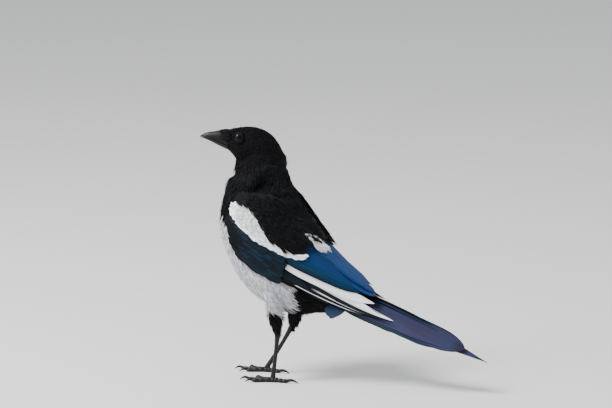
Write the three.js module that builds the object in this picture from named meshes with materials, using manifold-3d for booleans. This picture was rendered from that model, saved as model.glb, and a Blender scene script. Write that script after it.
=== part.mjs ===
// A Eurasian magpie standing with its weight between two feet, one a little behind the other.
// Millimetres, +Z up. The bill points to -Y and the bird's left side is +X.
import * as THREE from "three";
import { mergeVertices } from "three/addons/utils/BufferGeometryUtils.js";
import Module from "manifold-3d";

const wasm = await Module();
wasm.setup();

const { sin, cos, abs, min, max, asin, sqrt, PI } = Math;
const rad = THREE.MathUtils.degToRad;
const vec = (x, y, z) => new THREE.Vector3(x, y, z);
const mix = THREE.MathUtils.lerp;

// Sizes that the whole bird shares
const gap = 0.3; // between pieces that meet
const vaneThick = 0.7; // a feather at its shaft
const vaneEdge = 0.5; // and at its sides
const sides = { left: 1, right: -1 };

// Plumage, bill and leg finishes
const finish = {
  black: { color: 0x0d0d12, roughness: 0.5, metalness: 0 },
  white: { color: 0xe9e9ee, roughness: 0.75, metalness: 0 },
  blue: { color: 0x1d3f73, roughness: 0.35, metalness: 0.1 },
  tail: { color: 0x23283f, roughness: 0.35, metalness: 0.1 },
  horn: { color: 0x17171b, roughness: 0.3, metalness: 0 },
  eye: { color: 0x050404, roughness: 0.05, metalness: 0 },
  scale: { color: 0x141416, roughness: 0.45, metalness: 0 },
};

// Solids

function solidOf(geometry) {
  geometry.deleteAttribute("normal");
  geometry.deleteAttribute("uv");
  const merged = mergeVertices(geometry, 1e-3);
  const vertProperties = new Float32Array(merged.attributes.position.array);
  const build = (triVerts) => new wasm.Manifold(new wasm.Mesh({ numProp: 3, vertProperties, triVerts }));
  const faces = new Uint32Array(merged.index.array);
  const made = build(faces);
  return made.volume() > 0 ? made : build(faces.slice().reverse());
}

function largest(solid) {
  const pieces = solid.decompose();
  return pieces.reduce((a, b) => (b.volume() > a.volume() ? b : a));
}

const fuse = (solids) => wasm.Manifold.union(solids);
const carve = (solid, ...tools) => tools.reduce((left, tool) => left.subtract(tool), solid);

const merge = 0.02; // corners nearer than this become one

function meshOf(name, solid, look) {
  const { numProp, vertProperties, triVerts } = largest(solid.simplify(merge)).getMesh();
  if (numProp !== 3) throw new Error("positions only");
  const geometry = new THREE.BufferGeometry();
  geometry.setAttribute("position", new THREE.BufferAttribute(new Float32Array(vertProperties), 3));
  geometry.setIndex(new THREE.BufferAttribute(new Uint32Array(triVerts), 1));
  geometry.computeVertexNormals();
  const mesh = new THREE.Mesh(geometry, new THREE.MeshStandardMaterial(look));
  mesh.name = name;
  return mesh;
}

// A sphere's grid with each vertex moved: place(along 0 to 1, turn in radians) gives its new position.
function shapedSphere(around, along, place) {
  const geometry = new THREE.SphereGeometry(1, around, along);
  const { position, uv } = geometry.attributes;
  for (let i = 0; i < position.count; i++) {
    const row = 1 - uv.getY(i);
    const pole = row < 1e-6 || row > 1 - 1e-6;
    const turn = pole ? 0 : (Math.round(uv.getX(i) * around) % around) * ((2 * PI) / around);
    position.setXYZ(i, ...place(row, turn).toArray());
  }
  return solidOf(geometry);
}

// A box's grid with each vertex moved: place(a, b, c), each -1 to 1.
function shapedBox(stepsA, stepsB, place) {
  const geometry = new THREE.BoxGeometry(2, 2, 2, stepsA, stepsB, 1);
  const { position } = geometry.attributes;
  for (let i = 0; i < position.count; i++)
    position.setXYZ(i, ...place(position.getX(i), position.getY(i), position.getZ(i)).toArray());
  return solidOf(geometry);
}

// A smooth curve through a list of stations, for any of their sizes.
function sizeAt(stations, key, along) {
  const at = THREE.MathUtils.clamp(along, 0, 1) * (stations.length - 1);
  const i = min(Math.floor(at), stations.length - 2);
  const pick = (j) => stations[THREE.MathUtils.clamp(j, 0, stations.length - 1)][key];
  const [p, q, r, s] = [pick(i - 1), pick(i), pick(i + 1), pick(i + 2)];
  const t = at - i;
  const curve = q + 0.5 * t * (r - p + t * (2 * p - 5 * q + 4 * r - s + t * (3 * (q - r) + s - p)));
  return THREE.MathUtils.clamp(curve, min(q, r) - abs(r - q) * 0.3, max(q, r) + abs(r - q) * 0.3);
}

// The same, for stations placed by their own key, such as a distance.
function sizeBy(stations, by, key, value) {
  const last = stations.length - 1;
  const clamped = THREE.MathUtils.clamp(value, stations[0][by], stations[last][by]);
  const i = min(stations.findIndex((s, j) => j === last || clamped <= stations[j + 1][by]), last - 1);
  const share = (clamped - stations[i][by]) / (stations[i + 1][by] - stations[i][by]);
  return sizeAt(stations, key, (i + share) / last);
}

// A feather, lock or plate: a thin blade along a line of points. Its cross sections are flat lenses, split
// alike on both faces. half(t) is its half width, outwards(t) points out of the surface it lies on.
function blade({ points, outwards, half, rings, thick = 1, camber = () => 0, tip = 0.35 }) {
  const curve = new THREE.CatmullRomCurve3(points, false, "centripetal");
  const corners = [];
  const add = (v) => corners.push(v.x, v.y, v.z);
  for (let i = 0; i < rings; i++) {
    const t = (1 - (1 - i / (rings - 1)) ** 1.35) * (1 - tip * 0.12); // sections crowd towards the tip
    const middle = curve.getPoint(t);
    const ahead = curve.getTangent(t);
    const out = outwards(t).clone().addScaledVector(ahead, -outwards(t).dot(ahead)).normalize();
    const across = ahead.clone().cross(out).normalize();
    const wide = half(t);
    const taper = 1 - 0.45 * t;
    for (const [w, face] of [[-1, 1], [0, 1], [1, 1], [1, -1], [0, -1], [-1, -1]]) {
      const deep = (w ? vaneEdge : vaneThick) * thick * taper * 0.5;
      const sag = -camber(t) * w * w * wide * wide;
      add(middle.clone().addScaledVector(across, w * wide).addScaledVector(out, face * deep + sag));
    }
  }
  const root = corners.length / 3;
  add(curve.getPoint(0).addScaledVector(curve.getTangent(0), -0.4));
  const end = root + 1;
  add(curve.getPoint(1));
  const faces = [];
  const quad = (a, b, c, d, flip) => (flip ? faces.push(a, b, d, b, c, d) : faces.push(a, b, c, a, c, d));
  for (let i = 0; i < rings - 1; i++) {
    for (let j = 0; j < 6; j++) {
      const k = (j + 1) % 6;
      quad(i * 6 + j, i * 6 + k, (i + 1) * 6 + k, (i + 1) * 6 + j, j === 3 || j === 4);
    }
  }
  for (let j = 0; j < 6; j++) {
    const k = (j + 1) % 6;
    const last = (rings - 1) * 6;
    faces.push(root, k, j, end, last + j, last + k);
  }
  const geometry = new THREE.BufferGeometry();
  geometry.setAttribute("position", new THREE.Float32BufferAttribute(corners, 3));
  geometry.setIndex(faces);
  return solidOf(geometry);
}

// A vane's half width along its length: narrow quill, full middle, rounded end.
const vaneHalf = (full, quill = 0.35, worn = 0) => (t) =>
  full * min(mix(quill, 1, min(t / 0.35, 1)), sqrt(max(1 - max((t - 0.72) / 0.29, 0) ** 2, 0.04)))
  * (1 - worn * THREE.MathUtils.smoothstep(t, 0.5, 0.82));

// The trunk: one form from inside the head to the root of the tail. Each section stands across the line of
// the back, with its half width and its reach to the back and to the breast.
const trunk = [
  { y: -15, z: 213.5, wide: 14.5, back: 17, front: 19.5 },
  { y: -11.5, z: 204, wide: 17.5, back: 24, front: 24 },
  { y: -8.5, z: 192, wide: 21.5, back: 27, front: 25.5 },
  { y: -8.5, z: 178, wide: 29, back: 35, front: 33.5 },
  { y: -6, z: 161, wide: 36.5, back: 41, front: 41 },
  { y: -1, z: 140, wide: 41, back: 43, front: 45 },
  { y: 15, z: 113, wide: 40, back: 41, front: 45.5 },
  { y: 35, z: 93, wide: 32, back: 32, front: 36 },
  { y: 54, z: 82, wide: 19, back: 19, front: 21 },
  { y: 72, z: 75, wide: 9, back: 9, front: 9 },
];
const trunkLine = new THREE.CatmullRomCurve3(trunk.map(({ y, z }) => vec(0, y, z)), false, "centripetal");

function trunkSection(along, turn, inset = 0) {
  const at = THREE.MathUtils.clamp((along - 0.05) / 0.9, 0, 1);
  const end = along < 0.05 ? along / 0.05 : along > 0.95 ? (1 - along) / 0.05 : 1;
  const dome = sqrt(max(1 - (1 - end) ** 2, 0));
  const ahead = trunkLine.getTangent(at);
  const middle = trunkLine.getPoint(at);
  const overhang = along < 0.05 ? -(1 - end) * 6 : along > 0.95 ? (1 - end) * 9 : 0;
  middle.addScaledVector(ahead, overhang);
  const back = vec(0, -ahead.z, ahead.y);
  const rise = cos(turn) > 0 ? sizeAt(trunk, "back", at) : sizeAt(trunk, "front", at);
  return middle
    .addScaledVector(back, cos(turn) * (rise - inset) * dome)
    .add(vec(sin(turn) * (sizeAt(trunk, "wide", at) - inset) * dome, 0, 0));
}

const trunkForm = (grow = 0) => shapedSphere(20, 18, (along, turn) => trunkSection(along, turn, -grow));
const trunkWhole = trunkForm();

// The head turns on the neck and carries its own frame: ahead along the bill, out to its left, and up.
const headAt = vec(0, -14, 216.3);
const headTurn = rad(20);
const headPitch = rad(3);
const headAhead = vec(sin(headTurn) * cos(headPitch), -cos(headTurn) * cos(headPitch), sin(headPitch));
const headOut = vec(cos(headTurn), sin(headTurn), 0);
const headUp = headOut.clone().cross(headAhead).multiplyScalar(-1).normalize();
if (headUp.z < 0) headUp.negate();
const inHead = (ahead, out, up) =>
  headAt.clone()
    .addScaledVector(headAhead, ahead)
    .addScaledVector(headOut, out)
    .addScaledVector(headUp, up);

// Profile of the head, from the base of the bill to the nape
const headProfile = [
  { ahead: 27.5, top: 15.6, bottom: -3.9, wide: 7.2 },
  { ahead: 22, top: 17.3, bottom: -8, wide: 9.8 },
  { ahead: 14, top: 19.2, bottom: -16, wide: 12.9 },
  { ahead: 6, top: 19.9, bottom: -16, wide: 15 },
  { ahead: -3, top: 19.0, bottom: -18, wide: 16.3 },
  { ahead: -12, top: 15.2, bottom: -18, wide: 16.2 },
  { ahead: -20, top: 7.6, bottom: -17, wide: 14 },
  { ahead: -26.5, top: -2.5, bottom: -17, wide: 9 },
];
const headFront = 27.4;

function headForm(grow = 0) {
  const last = headProfile.length - 1;
  const rings = 11;
  return shapedSphere(16, rings, (along, turn) => {
    const rows = THREE.MathUtils.clamp((along - 1 / rings) / (1 - 2 / rings), 0, 1);
    const closing = along < 1e-6 || along > 1 - 1e-6 ? 0 : 1;
    const ahead = sizeAt(headProfile, "ahead", rows) - (along > 1 - 1e-6 ? 3 : 0);
    const top = sizeAt(headProfile, "top", rows) + grow;
    const bottom = sizeAt(headProfile, "bottom", rows) - grow;
    const middle = (top + bottom) / 2;
    const lift = closing ? cos(turn) * (top - middle) : 0;
    const flat = 1 - 0.1 * max(cos(turn), 0) ** 2;
    const wide = (sizeAt(headProfile, "wide", rows) + grow) * flat;
    return inHead(ahead, closing * sin(turn) * wide, middle + lift);
  });
}

// Eyes sit in sockets, each inside a raised rim of lid
const eye = { radius: 5.4, ahead: 14.4, out: 8.7, up: 8.4 };
const lid = { ring: 4.35, thick: 0.75, out: 12.3 };
const eyeAt = (side) => inHead(eye.ahead, side * eye.out, eye.up);

function eyeball(side, grow) {
  const geometry = new THREE.SphereGeometry(eye.radius + grow, 12, 7);
  geometry.translate(...eyeAt(side).toArray());
  return solidOf(geometry);
}

function lidRing(side) {
  const geometry = new THREE.TorusGeometry(lid.ring, lid.thick, 4, 10);
  const look = headOut.clone()
    .multiplyScalar(side)
    .addScaledVector(headAhead, 0.18)
    .addScaledVector(headUp, 0.1);
  geometry.applyQuaternion(new THREE.Quaternion().setFromUnitVectors(vec(0, 0, 1), look.normalize()));
  geometry.translate(...inHead(eye.ahead, side * lid.out, eye.up).toArray());
  return solidOf(geometry);
}

// Bill: one form split into upper and lower along the mouth line
const billProfile = [
  { ahead: 27.7, top: 14.4, bottom: -3.2, wide: 5.9 },
  { ahead: 33, top: 13.4, bottom: -1.1, wide: 5.1 },
  { ahead: 39, top: 12.3, bottom: 1.6, wide: 4.1 },
  { ahead: 45, top: 11.0, bottom: 4.1, wide: 2.9 },
  { ahead: 49, top: 9.3, bottom: 5.4, wide: 1.7 },
  { ahead: 51.6, top: 7.2, bottom: 6.1, wide: 0.6 },
];
const mouthLine = [
  { ahead: 14, up: -6.4 },
  { ahead: 21, up: -1.8 },
  { ahead: 28, up: 1.6 },
  { ahead: 38, up: 4.7 },
  { ahead: 46, up: 6.0 },
  { ahead: 54, up: 6.3 },
];

function billForm(grow = 0) {
  const rings = 10;
  return shapedSphere(12, rings, (along, turn) => {
    const rows = THREE.MathUtils.clamp((along - 1 / rings) / (1 - 2 / rings), 0, 1);
    const closing = along < 1e-6 || along > 1 - 1e-6 ? 0 : 1;
    const ahead = sizeAt(billProfile, "ahead", rows) + (along > 1 - 1e-6 ? 0.4 : 0);
    const top = sizeAt(billProfile, "top", rows) + grow;
    const bottom = sizeAt(billProfile, "bottom", rows) - grow;
    const middle = (top + bottom) / 2;
    const pinch = 1 - 0.28 * max(cos(turn), 0) ** 2; // the culmen is narrower than the cutting edge
    const across = closing * sin(turn) * (sizeAt(billProfile, "wide", rows) * pinch + grow);
    return inHead(ahead, across, middle + closing * cos(turn) * (top - middle));
  });
}

const nostril = { radius: 0.7, ahead: 31.5, up: 9.6, out: 5.6, deep: 2.4 };

function nostrilPit(side) {
  const geometry = new THREE.CylinderGeometry(nostril.radius, nostril.radius, nostril.deep, 8);
  geometry.applyQuaternion(new THREE.Quaternion().setFromUnitVectors(vec(0, 1, 0), headOut));
  geometry.translate(...inHead(nostril.ahead, side * nostril.out * 0.93, nostril.up).toArray());
  return solidOf(geometry);
}

// The slot between the jaws: a thin sheet that follows the mouth line
function mouthSlot(half, thick) {
  return shapedBox(10, 1, (a, b, c) => {
    const ahead = mix(mouthLine[0].ahead, mouthLine[mouthLine.length - 1].ahead, (a + 1) / 2);
    return inHead(ahead, b * half, sizeBy(mouthLine, "ahead", "up", ahead) + (c * thick) / 2);
  });
}

// Nasal bristles: flat locks that lie forwards over the base of the bill
const bristle = { rows: 1, perRow: 3, from: 23, to: 36.5, half: 2.2 };

function bristles(side) {
  const locks = [];
  for (let row = 0; row < bristle.rows; row++) {
    for (let i = 0; i < bristle.perRow; i++) {
      const share = (i + 0.5) / bristle.perRow;
      const turn = rad(mix(8, 78, share) + row * 8);
      const reach = mix(bristle.to, bristle.to - 4.5, share) - row * 3.2;
      const outwards = headUp.clone().multiplyScalar(cos(turn)).addScaledVector(headOut, side * sin(turn));
      const on = (ahead, lift) => {
        const wide = sizeBy(billProfile, "ahead", "wide", ahead) + lift;
        const top = sizeBy(billProfile, "ahead", "top", ahead) + lift;
        return inHead(ahead, side * sin(turn) * wide, 7 + cos(turn) * (top - 7));
      };
      const points = [on(bristle.from, 0.2), on(29, 0.9 + row * 0.85), on(reach, 0.6 + row * 0.7)];
      const half = (t) => bristle.half * (1 - 0.8 * t);
      locks.push(blade({ points, outwards: () => outwards, half, rings: 3, tip: 0.6 }));
    }
  }
  return locks;
}

// Ruffled feathers at the nape, lifted off the head
const napeTuft = { count: 3, ahead: -24, up: -2, length: 9, half: 2.4 };

function napeLocks() {
  return Array.from({ length: napeTuft.count }, (_, i) => {
    const share = i / (napeTuft.count - 1) - 0.5;
    const start = inHead(napeTuft.ahead + 4, share * 13, napeTuft.up - abs(share) * 3);
    const end = inHead(napeTuft.ahead - 6.5, share * 15, napeTuft.up - napeTuft.length + abs(share) * 2);
    const bend = inHead(napeTuft.ahead - 2.8, share * 14.5, napeTuft.up - 3);
    const outwards = headAhead.clone().multiplyScalar(-1).addScaledVector(headUp, 0.8).normalize();
    const half = (t) => napeTuft.half * (1 - 0.75 * t);
    return blade({ points: [start, bend, end], outwards: () => outwards, half, rings: 3, tip: 0.6 });
  });
}

// The wings fold over the flanks. Their feathers lie on a tapering barrel along each wing, measured from
// the shoulder: u runs towards the wing's tip, v across it, and turn goes from the flank (0) to the back (90).
const shoulder = vec(0, -28, 149.5);
const wingSlope = rad(27.8);
const wingAlong = vec(0, cos(wingSlope), -sin(wingSlope));
const wingUp = vec(0, sin(wingSlope), cos(wingSlope));
const barrel = [
  { u: -6, wide: 31, high: 52, middle: 0 },
  { u: 10, wide: 38.5, high: 55, middle: -1 },
  { u: 28, wide: 42, high: 54, middle: -2 },
  { u: 55, wide: 40.5, high: 43, middle: -3.5 },
  { u: 85, wide: 34, high: 32.5, middle: -6 },
  { u: 105, wide: 28.5, high: 26.5, middle: -7 },
  { u: 140, wide: 21.5, high: 16, middle: -5 },
  { u: 165, wide: 18, high: 10.5, middle: -2.5 },
  { u: 190, wide: 15, high: 6.5, middle: 0 },
];
const barrelSize = (key, u) => sizeBy(barrel, "u", key, u);

// Towards the back the feathers settle below the barrel
const settle = { depth: 5.6, behind: 2.4, from: rad(36), to: rad(72) };

function onWing(side, u, turn, lift = 0) {
  const depth = mix(settle.depth, settle.behind, THREE.MathUtils.smoothstep(u, 96, 122));
  const height = lift - depth * THREE.MathUtils.smoothstep(turn, settle.from, settle.to);
  const v = barrelSize("middle", u) + (barrelSize("high", u) + height) * sin(turn);
  const x = side * (barrelSize("wide", u) + height) * cos(turn);
  return shoulder.clone().addScaledVector(wingAlong, u).addScaledVector(wingUp, v).add(vec(x, 0, 0));
}

const turnAt = (u, v) =>
  asin(THREE.MathUtils.clamp((v - barrelSize("middle", u)) / barrelSize("high", u), -0.98, 0.98));

function wingOut(side, u, turn) {
  const out = vec((side * cos(turn)) / barrelSize("wide", u), 0, 0);
  return out.addScaledVector(wingUp, sin(turn) / barrelSize("high", u)).normalize();
}

function bendRadius(u, turn) {
  const [a, b] = [barrelSize("wide", u), barrelSize("high", u)];
  return ((a * sin(turn)) ** 2 + (b * cos(turn)) ** 2) ** 1.5 / (a * b);
}

// Lower edge of the folded wing, as a turn
const lowerEdge = (u) => rad(mix(-5, -35, THREE.MathUtils.smoothstep(u, -6, 40)));

const sunk = -2.6; // depth of a feather's root in the arm

// A feather that lies on the wing from (u, v) at its root to (u, v) at its tip, h above the barrel
function wingVane(side, { root, tip, bow, low, high, half, tilt, rings }) {
  const at = (t) => {
    const u = mix(root[0], tip[0], t);
    const v = mix(root[1], tip[1], t) + bow * 4 * t * (1 - t);
    return [u, turnAt(u, v)];
  };
  const points = [0, 0.33, 0.66, 1].map((t) => onWing(side, ...at(t), t ? mix(low, high, t) : sunk));
  const ahead = points[3].clone().sub(points[0]).normalize();
  const outwards = (t) => wingOut(side, ...at(t)).applyAxisAngle(ahead, -side * tilt);
  const camber = (t) => 0.5 / bendRadius(...at(t)); // each feather is bent as the barrel under it
  return blade({ points, outwards, half: vaneHalf(half, 0.4), rings, camber });
}

// The right wing is folded a little closer: these tiers end sooner on it
const rightShorter = { secondaries: 12, tertials: 12 };

// Tiers of the wing, each from its first feather (lowest on the flank) to its last
const tiers = [
  {
    name: "primaries", count: 5, low: -2.9, high: -2.6, step: 0, tilt: 18, half: [7, 8.5], rings: 4,
    root: [[30, -22], [56, -4]], tip: [[168, -6.5], [156, 7]], bow: [-7, 1], reach: 14,
  },
  {
    name: "secondaries", count: 3, low: -0.2, high: 0.1, step: 0.6, tilt: 14, half: [10, 11], rings: 5,
    root: [[46, -8], [62, 12]], tip: [[136, 3], [150, 8]], bow: [2, 3], reach: 0,
  },
  {
    name: "tertials", count: 3, low: 1.2, high: 2.4, step: 0.5, tilt: 10, half: [11, 12], rings: 5,
    root: [[62, 14], [68, 30]], tip: [[149, 9], [136, 15]], bow: [5, 4], reach: 0,
  },
  {
    name: "greater_coverts", count: 3, low: 0.3, high: 0.9, step: 0.12, tilt: 13, half: [9, 10], rings: 4,
    root: [[12, -11], [44, 8]], tip: [[60, -17], [90, 7]], bow: [-2, 1], reach: 0,
  },
  {
    name: "white_scapulars", count: 2, low: 1.2, high: 2.9, step: 0.12, tilt: 10, half: [8, 7.5], rings: 4,
    root: [[4, 10], [46, 12]], tip: [[42, 2], [86, 10]], bow: [0, -2], reach: 0,
  },
  {
    name: "black_scapulars", count: 3, low: 1.0, high: 3.0, step: 0.12, tilt: 10, half: [11, 11], rings: 4,
    root: [[12, 22], [46, 32]], tip: [[66, 15], [92, 25]], bow: [2, 3], reach: 0,
  },
];

function tierVanes(side, tier) {
  return Array.from({ length: tier.count }, (_, i) => {
    const share = i / (tier.count - 1);
    const between = ([a, b]) => [mix(a[0], b[0], share), mix(a[1], b[1], share)];
    const tip = between(tier.tip);
    tip[0] += tier.reach * sin(PI * min(share * 1.3 + 0.05, 1));
    if (side < 0) tip[0] -= rightShorter[tier.name] ?? 0;
    return wingVane(side, {
      root: between(tier.root),
      tip,
      bow: mix(...tier.bow, share),
      low: tier.low + i * tier.step * 0.6,
      high: tier.high + i * tier.step,
      half: mix(...tier.half, share),
      tilt: rad(tier.tilt),
      rings: tier.rings,
    });
  });
}

// The arm under the coverts: a flat cushion on the flank that the feathers root in
const arm = { from: -3, to: 78, inner: -5, outer: 1.0 };
const armTop = (u) => mix(26, 62, THREE.MathUtils.smoothstep(u, 0, 72));

function armForm(side) {
  const power = (x) => Math.sign(x) * abs(x) ** 0.7;
  return shapedSphere(16, 8, (along, turn) => {
    const polar = PI * along;
    const [a, b, c] = [cos(turn) * sin(polar), sin(turn) * sin(polar), cos(polar)];
    const u = mix(arm.from, arm.to, (power(a) / 1.02 + 1) / 2);
    const rise = mix(lowerEdge(u) + rad(3), rad(armTop(u)), (power(b) + 1) / 2);
    const h = mix(arm.inner, arm.outer, (power(c) + 1) / 2);
    return onWing(side, u, rise, h);
  });
}

// The room that a folded wing takes: pieces under it are cut back to this
const roomInner = (u) => mix(-5.5, -3.4, THREE.MathUtils.smoothstep(u, 140, 172));

function roomForm(side, from, to, lowTurn, highTurn, inner, outer) {
  return shapedBox(11, 5, (a, b, c) => {
    const u = mix(from, to, (a + 1) / 2);
    return onWing(side, u, mix(lowTurn(u), highTurn(u), (b + 1) / 2), mix(inner(u), outer, (c + 1) / 2));
  });
}

function roomTop(u) {
  const open = mix(armTop(u) + 5, 93, THREE.MathUtils.smoothstep(u, 50, 84));
  return rad(mix(open, 34, THREE.MathUtils.smoothstep(u, 148, 172)));
}

const lowestTurn = (u) => lowerEdge(u) - rad(2.5);
const rooms = Object.values(sides).map((side) =>
  roomForm(side, -6, 192, lowestTurn, roomTop, roomInner, 24));

// What the wing's feathers must keep clear of, outside the room made for them: the trunk and the tail's roof
function kept(side) {
  const low = (u) => lowestTurn(u) + rad(0.6);
  const high = (u) => roomTop(u) - rad(0.6);
  const room = roomForm(side, -5.4, 191, low, high, (u) => roomInner(u) + gap, 30);
  return fuse([trunkForm(gap), tailRoof()]).subtract(room);
}

function wingForm(side) {
  const vanes = tiers.flatMap((tier) => tierVanes(side, tier));
  const wing = fuse([armForm(side), ...vanes]).trimByPlane([side, 0, 0], gap / 2);
  return wing.subtract(kept(side));
}

// The tail: feathers roofed over each other from a short root, measured in the tail's own frame
const tailAt = vec(0, 45, 88);
const tailSlope = rad(18);
const tailAlong = vec(0, cos(tailSlope), -sin(tailSlope));
const tailUp = vec(0, sin(tailSlope), cos(tailSlope));
const inTail = (along, out, up) =>
  tailAt.clone().addScaledVector(tailAlong, along).addScaledVector(tailUp, up).add(vec(out, 0, 0));

// Each feather lies under the one before it and shows its edge beyond it. slide is how far down the roof it
// lies. The missing lengths are feathers still growing after the moult.
const roof = {
  out: [5.5, 5.2],
  up: [7.6, 4.6],
  roll: [56, 48],
  under: 0.9,
};
const rectrices = {
  left: [
    { length: 184, half: 11, slide: [0, 1], under: 0, tipOut: -3.5, tipUp: -5, unroll: 34, worn: 0.45 },
    { length: 160, half: 11.5, slide: [1.2, 1.2], under: 1 },
    { length: 146, half: 11.5, slide: [2.4, 3.4], under: 2 },
    { length: 125, half: 10.5, slide: [3.3, 4.2], under: 3 },
    { length: 42, half: 8.5, slide: [5, 20], under: 3, tipOut: 2 },
  ],
  right: [
    { length: 127, half: 10.5, slide: [0, -2], under: -1.4, unroll: 10 },
    { length: 158, half: 11.5, slide: [1.2, 1.2], under: 1 },
    { length: 143, half: 11.5, slide: [2.4, 3.4], under: 2 },
    { length: 124, half: 10.5, slide: [3.3, 4.2], under: 3 },
  ],
};
const roofRoom = { from: 12, to: 124, low: -12, high: 18, eaves: 15.4, ridge: 3.5 };

function tailRoof() {
  return shapedBox(4, 3, (a, b, c) => {
    const rise = (b + 1) / 2;
    const half = mix(roofRoom.eaves, roofRoom.ridge, rise * rise);
    const along = mix(roofRoom.from, roofRoom.to, (a + 1) / 2);
    return inTail(along, c * half, mix(roofRoom.low, roofRoom.high, rise));
  });
}

const rectrixRoot = { along: 8, bend: 26 };
const tailLength = 184;

function rectrix(side, { length, half, slide, under, tipOut = 0, tipUp = 0, unroll = 0, worn = 0 }) {
  const lean = (t) => rad(mix(...roof.roll, (t * length) / tailLength) - unroll * t * t);
  const place = (along) => {
    const t = (along - rectrixRoot.along) / (length - rectrixRoot.along);
    const share = along / tailLength;
    const down = mix(...slide, t);
    const deep = under * roof.under * min(0.35 + t * 2, 1);
    const out = mix(...roof.out, share) + cos(lean(t)) * down - sin(lean(t)) * deep + tipOut * t * t;
    const up = mix(...roof.up, share) - sin(lean(t)) * down - cos(lean(t)) * deep + tipUp * t * t;
    return inTail(along, side * out * min(0.3 + t * 4, 1), up * min(0.4 + t * 3, 1));
  };
  const { along, bend } = rectrixRoot;
  const points = [along, bend, mix(bend, length, 0.35), mix(bend, length, 0.7), length].map(place);
  const outwards = (t) => tailUp.clone().multiplyScalar(cos(lean(t))).add(vec(side * sin(lean(t)), 0, 0));
  const short = length < 60;
  const rings = short ? 4 : 5;
  return blade({ points, outwards, half: vaneHalf(half, 0.4, worn), rings, camber: () => 0.004 });
}

// Coverts over and under the root of the tail
const tailCoverts = [
  { count: 3, start: [4, 8], end: 52, spread: 50, out: 10, up: 12.5, half: 8 },
  { count: 3, start: [2, -9], end: 36, spread: 50, out: 10, up: -13, half: 8 },
];

function tailCovertVanes({ count, start, end, spread, out, up, half }) {
  return Array.from({ length: count }, (_, i) => {
    const share = (i / (count - 1)) * 2 - 1;
    const lean = rad(spread * share);
    const reach = end - 8 * abs(share);
    const drop = up * cos(lean);
    const points = [
      inTail(start[0], out * 0.6 * sin(lean), start[1] * cos(lean)),
      inTail(mix(start[0], reach, 0.5), out * sin(lean), drop * 1.12),
      inTail(reach, out * 1.05 * sin(lean), drop),
    ];
    const outwards = tailUp.clone().multiplyScalar(Math.sign(up) * cos(lean)).add(vec(sin(lean), 0, 0));
    return blade({ points, outwards: () => outwards, half: vaneHalf(half, 0.6), rings: 3 });
  });
}

// Legs. The ankle is where the feathered shank ends, and each foot has its own place on the ground.
const legs = {
  left: {
    hip: vec(21, 13, 88), belly: vec(21.5, 15.5, 66), ankle: vec(20.5, 18.5, 44.5), foot: vec(22, 14, 3.2),
  },
  right: {
    hip: vec(-21, 20, 88), belly: vec(-20.5, 18, 62), ankle: vec(-20, 15, 44.5), foot: vec(-22, -13, 3.2),
  },
};
const shank = { top: 11, belly: 8, ankle: 3.2 };
const tarsusThick = { ankle: 2.5, middle: 1.55, foot: 2.1 };

// A round form through some points, with a radius at each
function limb(points, radii, around, steps, stretch = vec(1, 1, 1)) {
  const line = new THREE.CatmullRomCurve3(points, false, "centripetal");
  const stations = radii.map((r) => ({ r }));
  return shapedSphere(around, steps, (along, turn) => {
    const at = THREE.MathUtils.clamp((along - 1 / steps) / (1 - 2 / steps), 0, 1);
    const open = along < 1e-6 || along > 1 - 1e-6 ? 0 : 1;
    const ahead = line.getTangent(at);
    const across = vec(1, 0, 0).addScaledVector(ahead, -ahead.x).normalize();
    const over = across.clone().cross(ahead).normalize();
    const r = sizeAt(stations, "r", at) * open;
    const nudge = open ? 0 : (along < 0.5 ? -1 : 1) * 0.25 * sizeAt(stations, "r", at);
    return line
      .getPoint(at)
      .addScaledVector(ahead, nudge)
      .addScaledVector(across, cos(turn) * r * stretch.x)
      .addScaledVector(over, sin(turn) * r * stretch.y);
  });
}

// The shank's feathers end in a ragged hem of locks round the ankle
function shankLocks(leg) {
  const count = 4;
  return Array.from({ length: count }, (_, i) => {
    const turn = (i / count) * 2 * PI + 0.4;
    const out = vec(cos(turn), sin(turn), 0);
    const down = leg.ankle.clone().sub(leg.belly).normalize();
    const start = leg.belly.clone().lerp(leg.ankle, 0.15).addScaledVector(out, 4.6);
    const bend = leg.belly.clone().lerp(leg.ankle, 0.55).addScaledVector(out, 5.1);
    const end = leg.ankle.clone().addScaledVector(out, 3.1).addScaledVector(down, -1 + (i % 2) * 2);
    const half = (t) => 3.2 * (1 - 0.7 * t);
    return blade({ points: [start, bend, end], outwards: () => out, half, rings: 3, tip: 0.5 });
  });
}

// Feet: three toes ahead and one behind, each with a claw
const toes = [
  { name: "hind", heading: 176, length: 14, thick: 2.4, claw: 12 },
  { name: "inner", heading: 24, length: 18, thick: 2.0, claw: 8 },
  { name: "middle", heading: -2, length: 25, thick: 2.1, claw: 9 },
  { name: "outer", heading: -26, length: 19, thick: 2.0, claw: 7.5 },
];
const soleHeight = 1.75; // a toe's middle above the ground, so that its pads stand on small flats
const scutes = 4;

const heading = (side, degrees) => vec(side * sin(rad(degrees)) * -1, -cos(rad(degrees)), 0);

function toeForm(side, foot, { heading: way, length, thick }) {
  const ahead = heading(side, way);
  const ground = vec(foot.x, foot.y, soleHeight);
  const points = [0, 0.3, 0.65, 1].map((t) => ground.clone().addScaledVector(ahead, t * length));
  points[0].z += 0.7;
  points[1].z += 0.5;
  const radii = [thick, thick * 0.9, thick * 1.02, thick * 0.8, thick * 0.95, thick * 0.64];
  return limb(points, radii, 6, 8);
}

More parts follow.
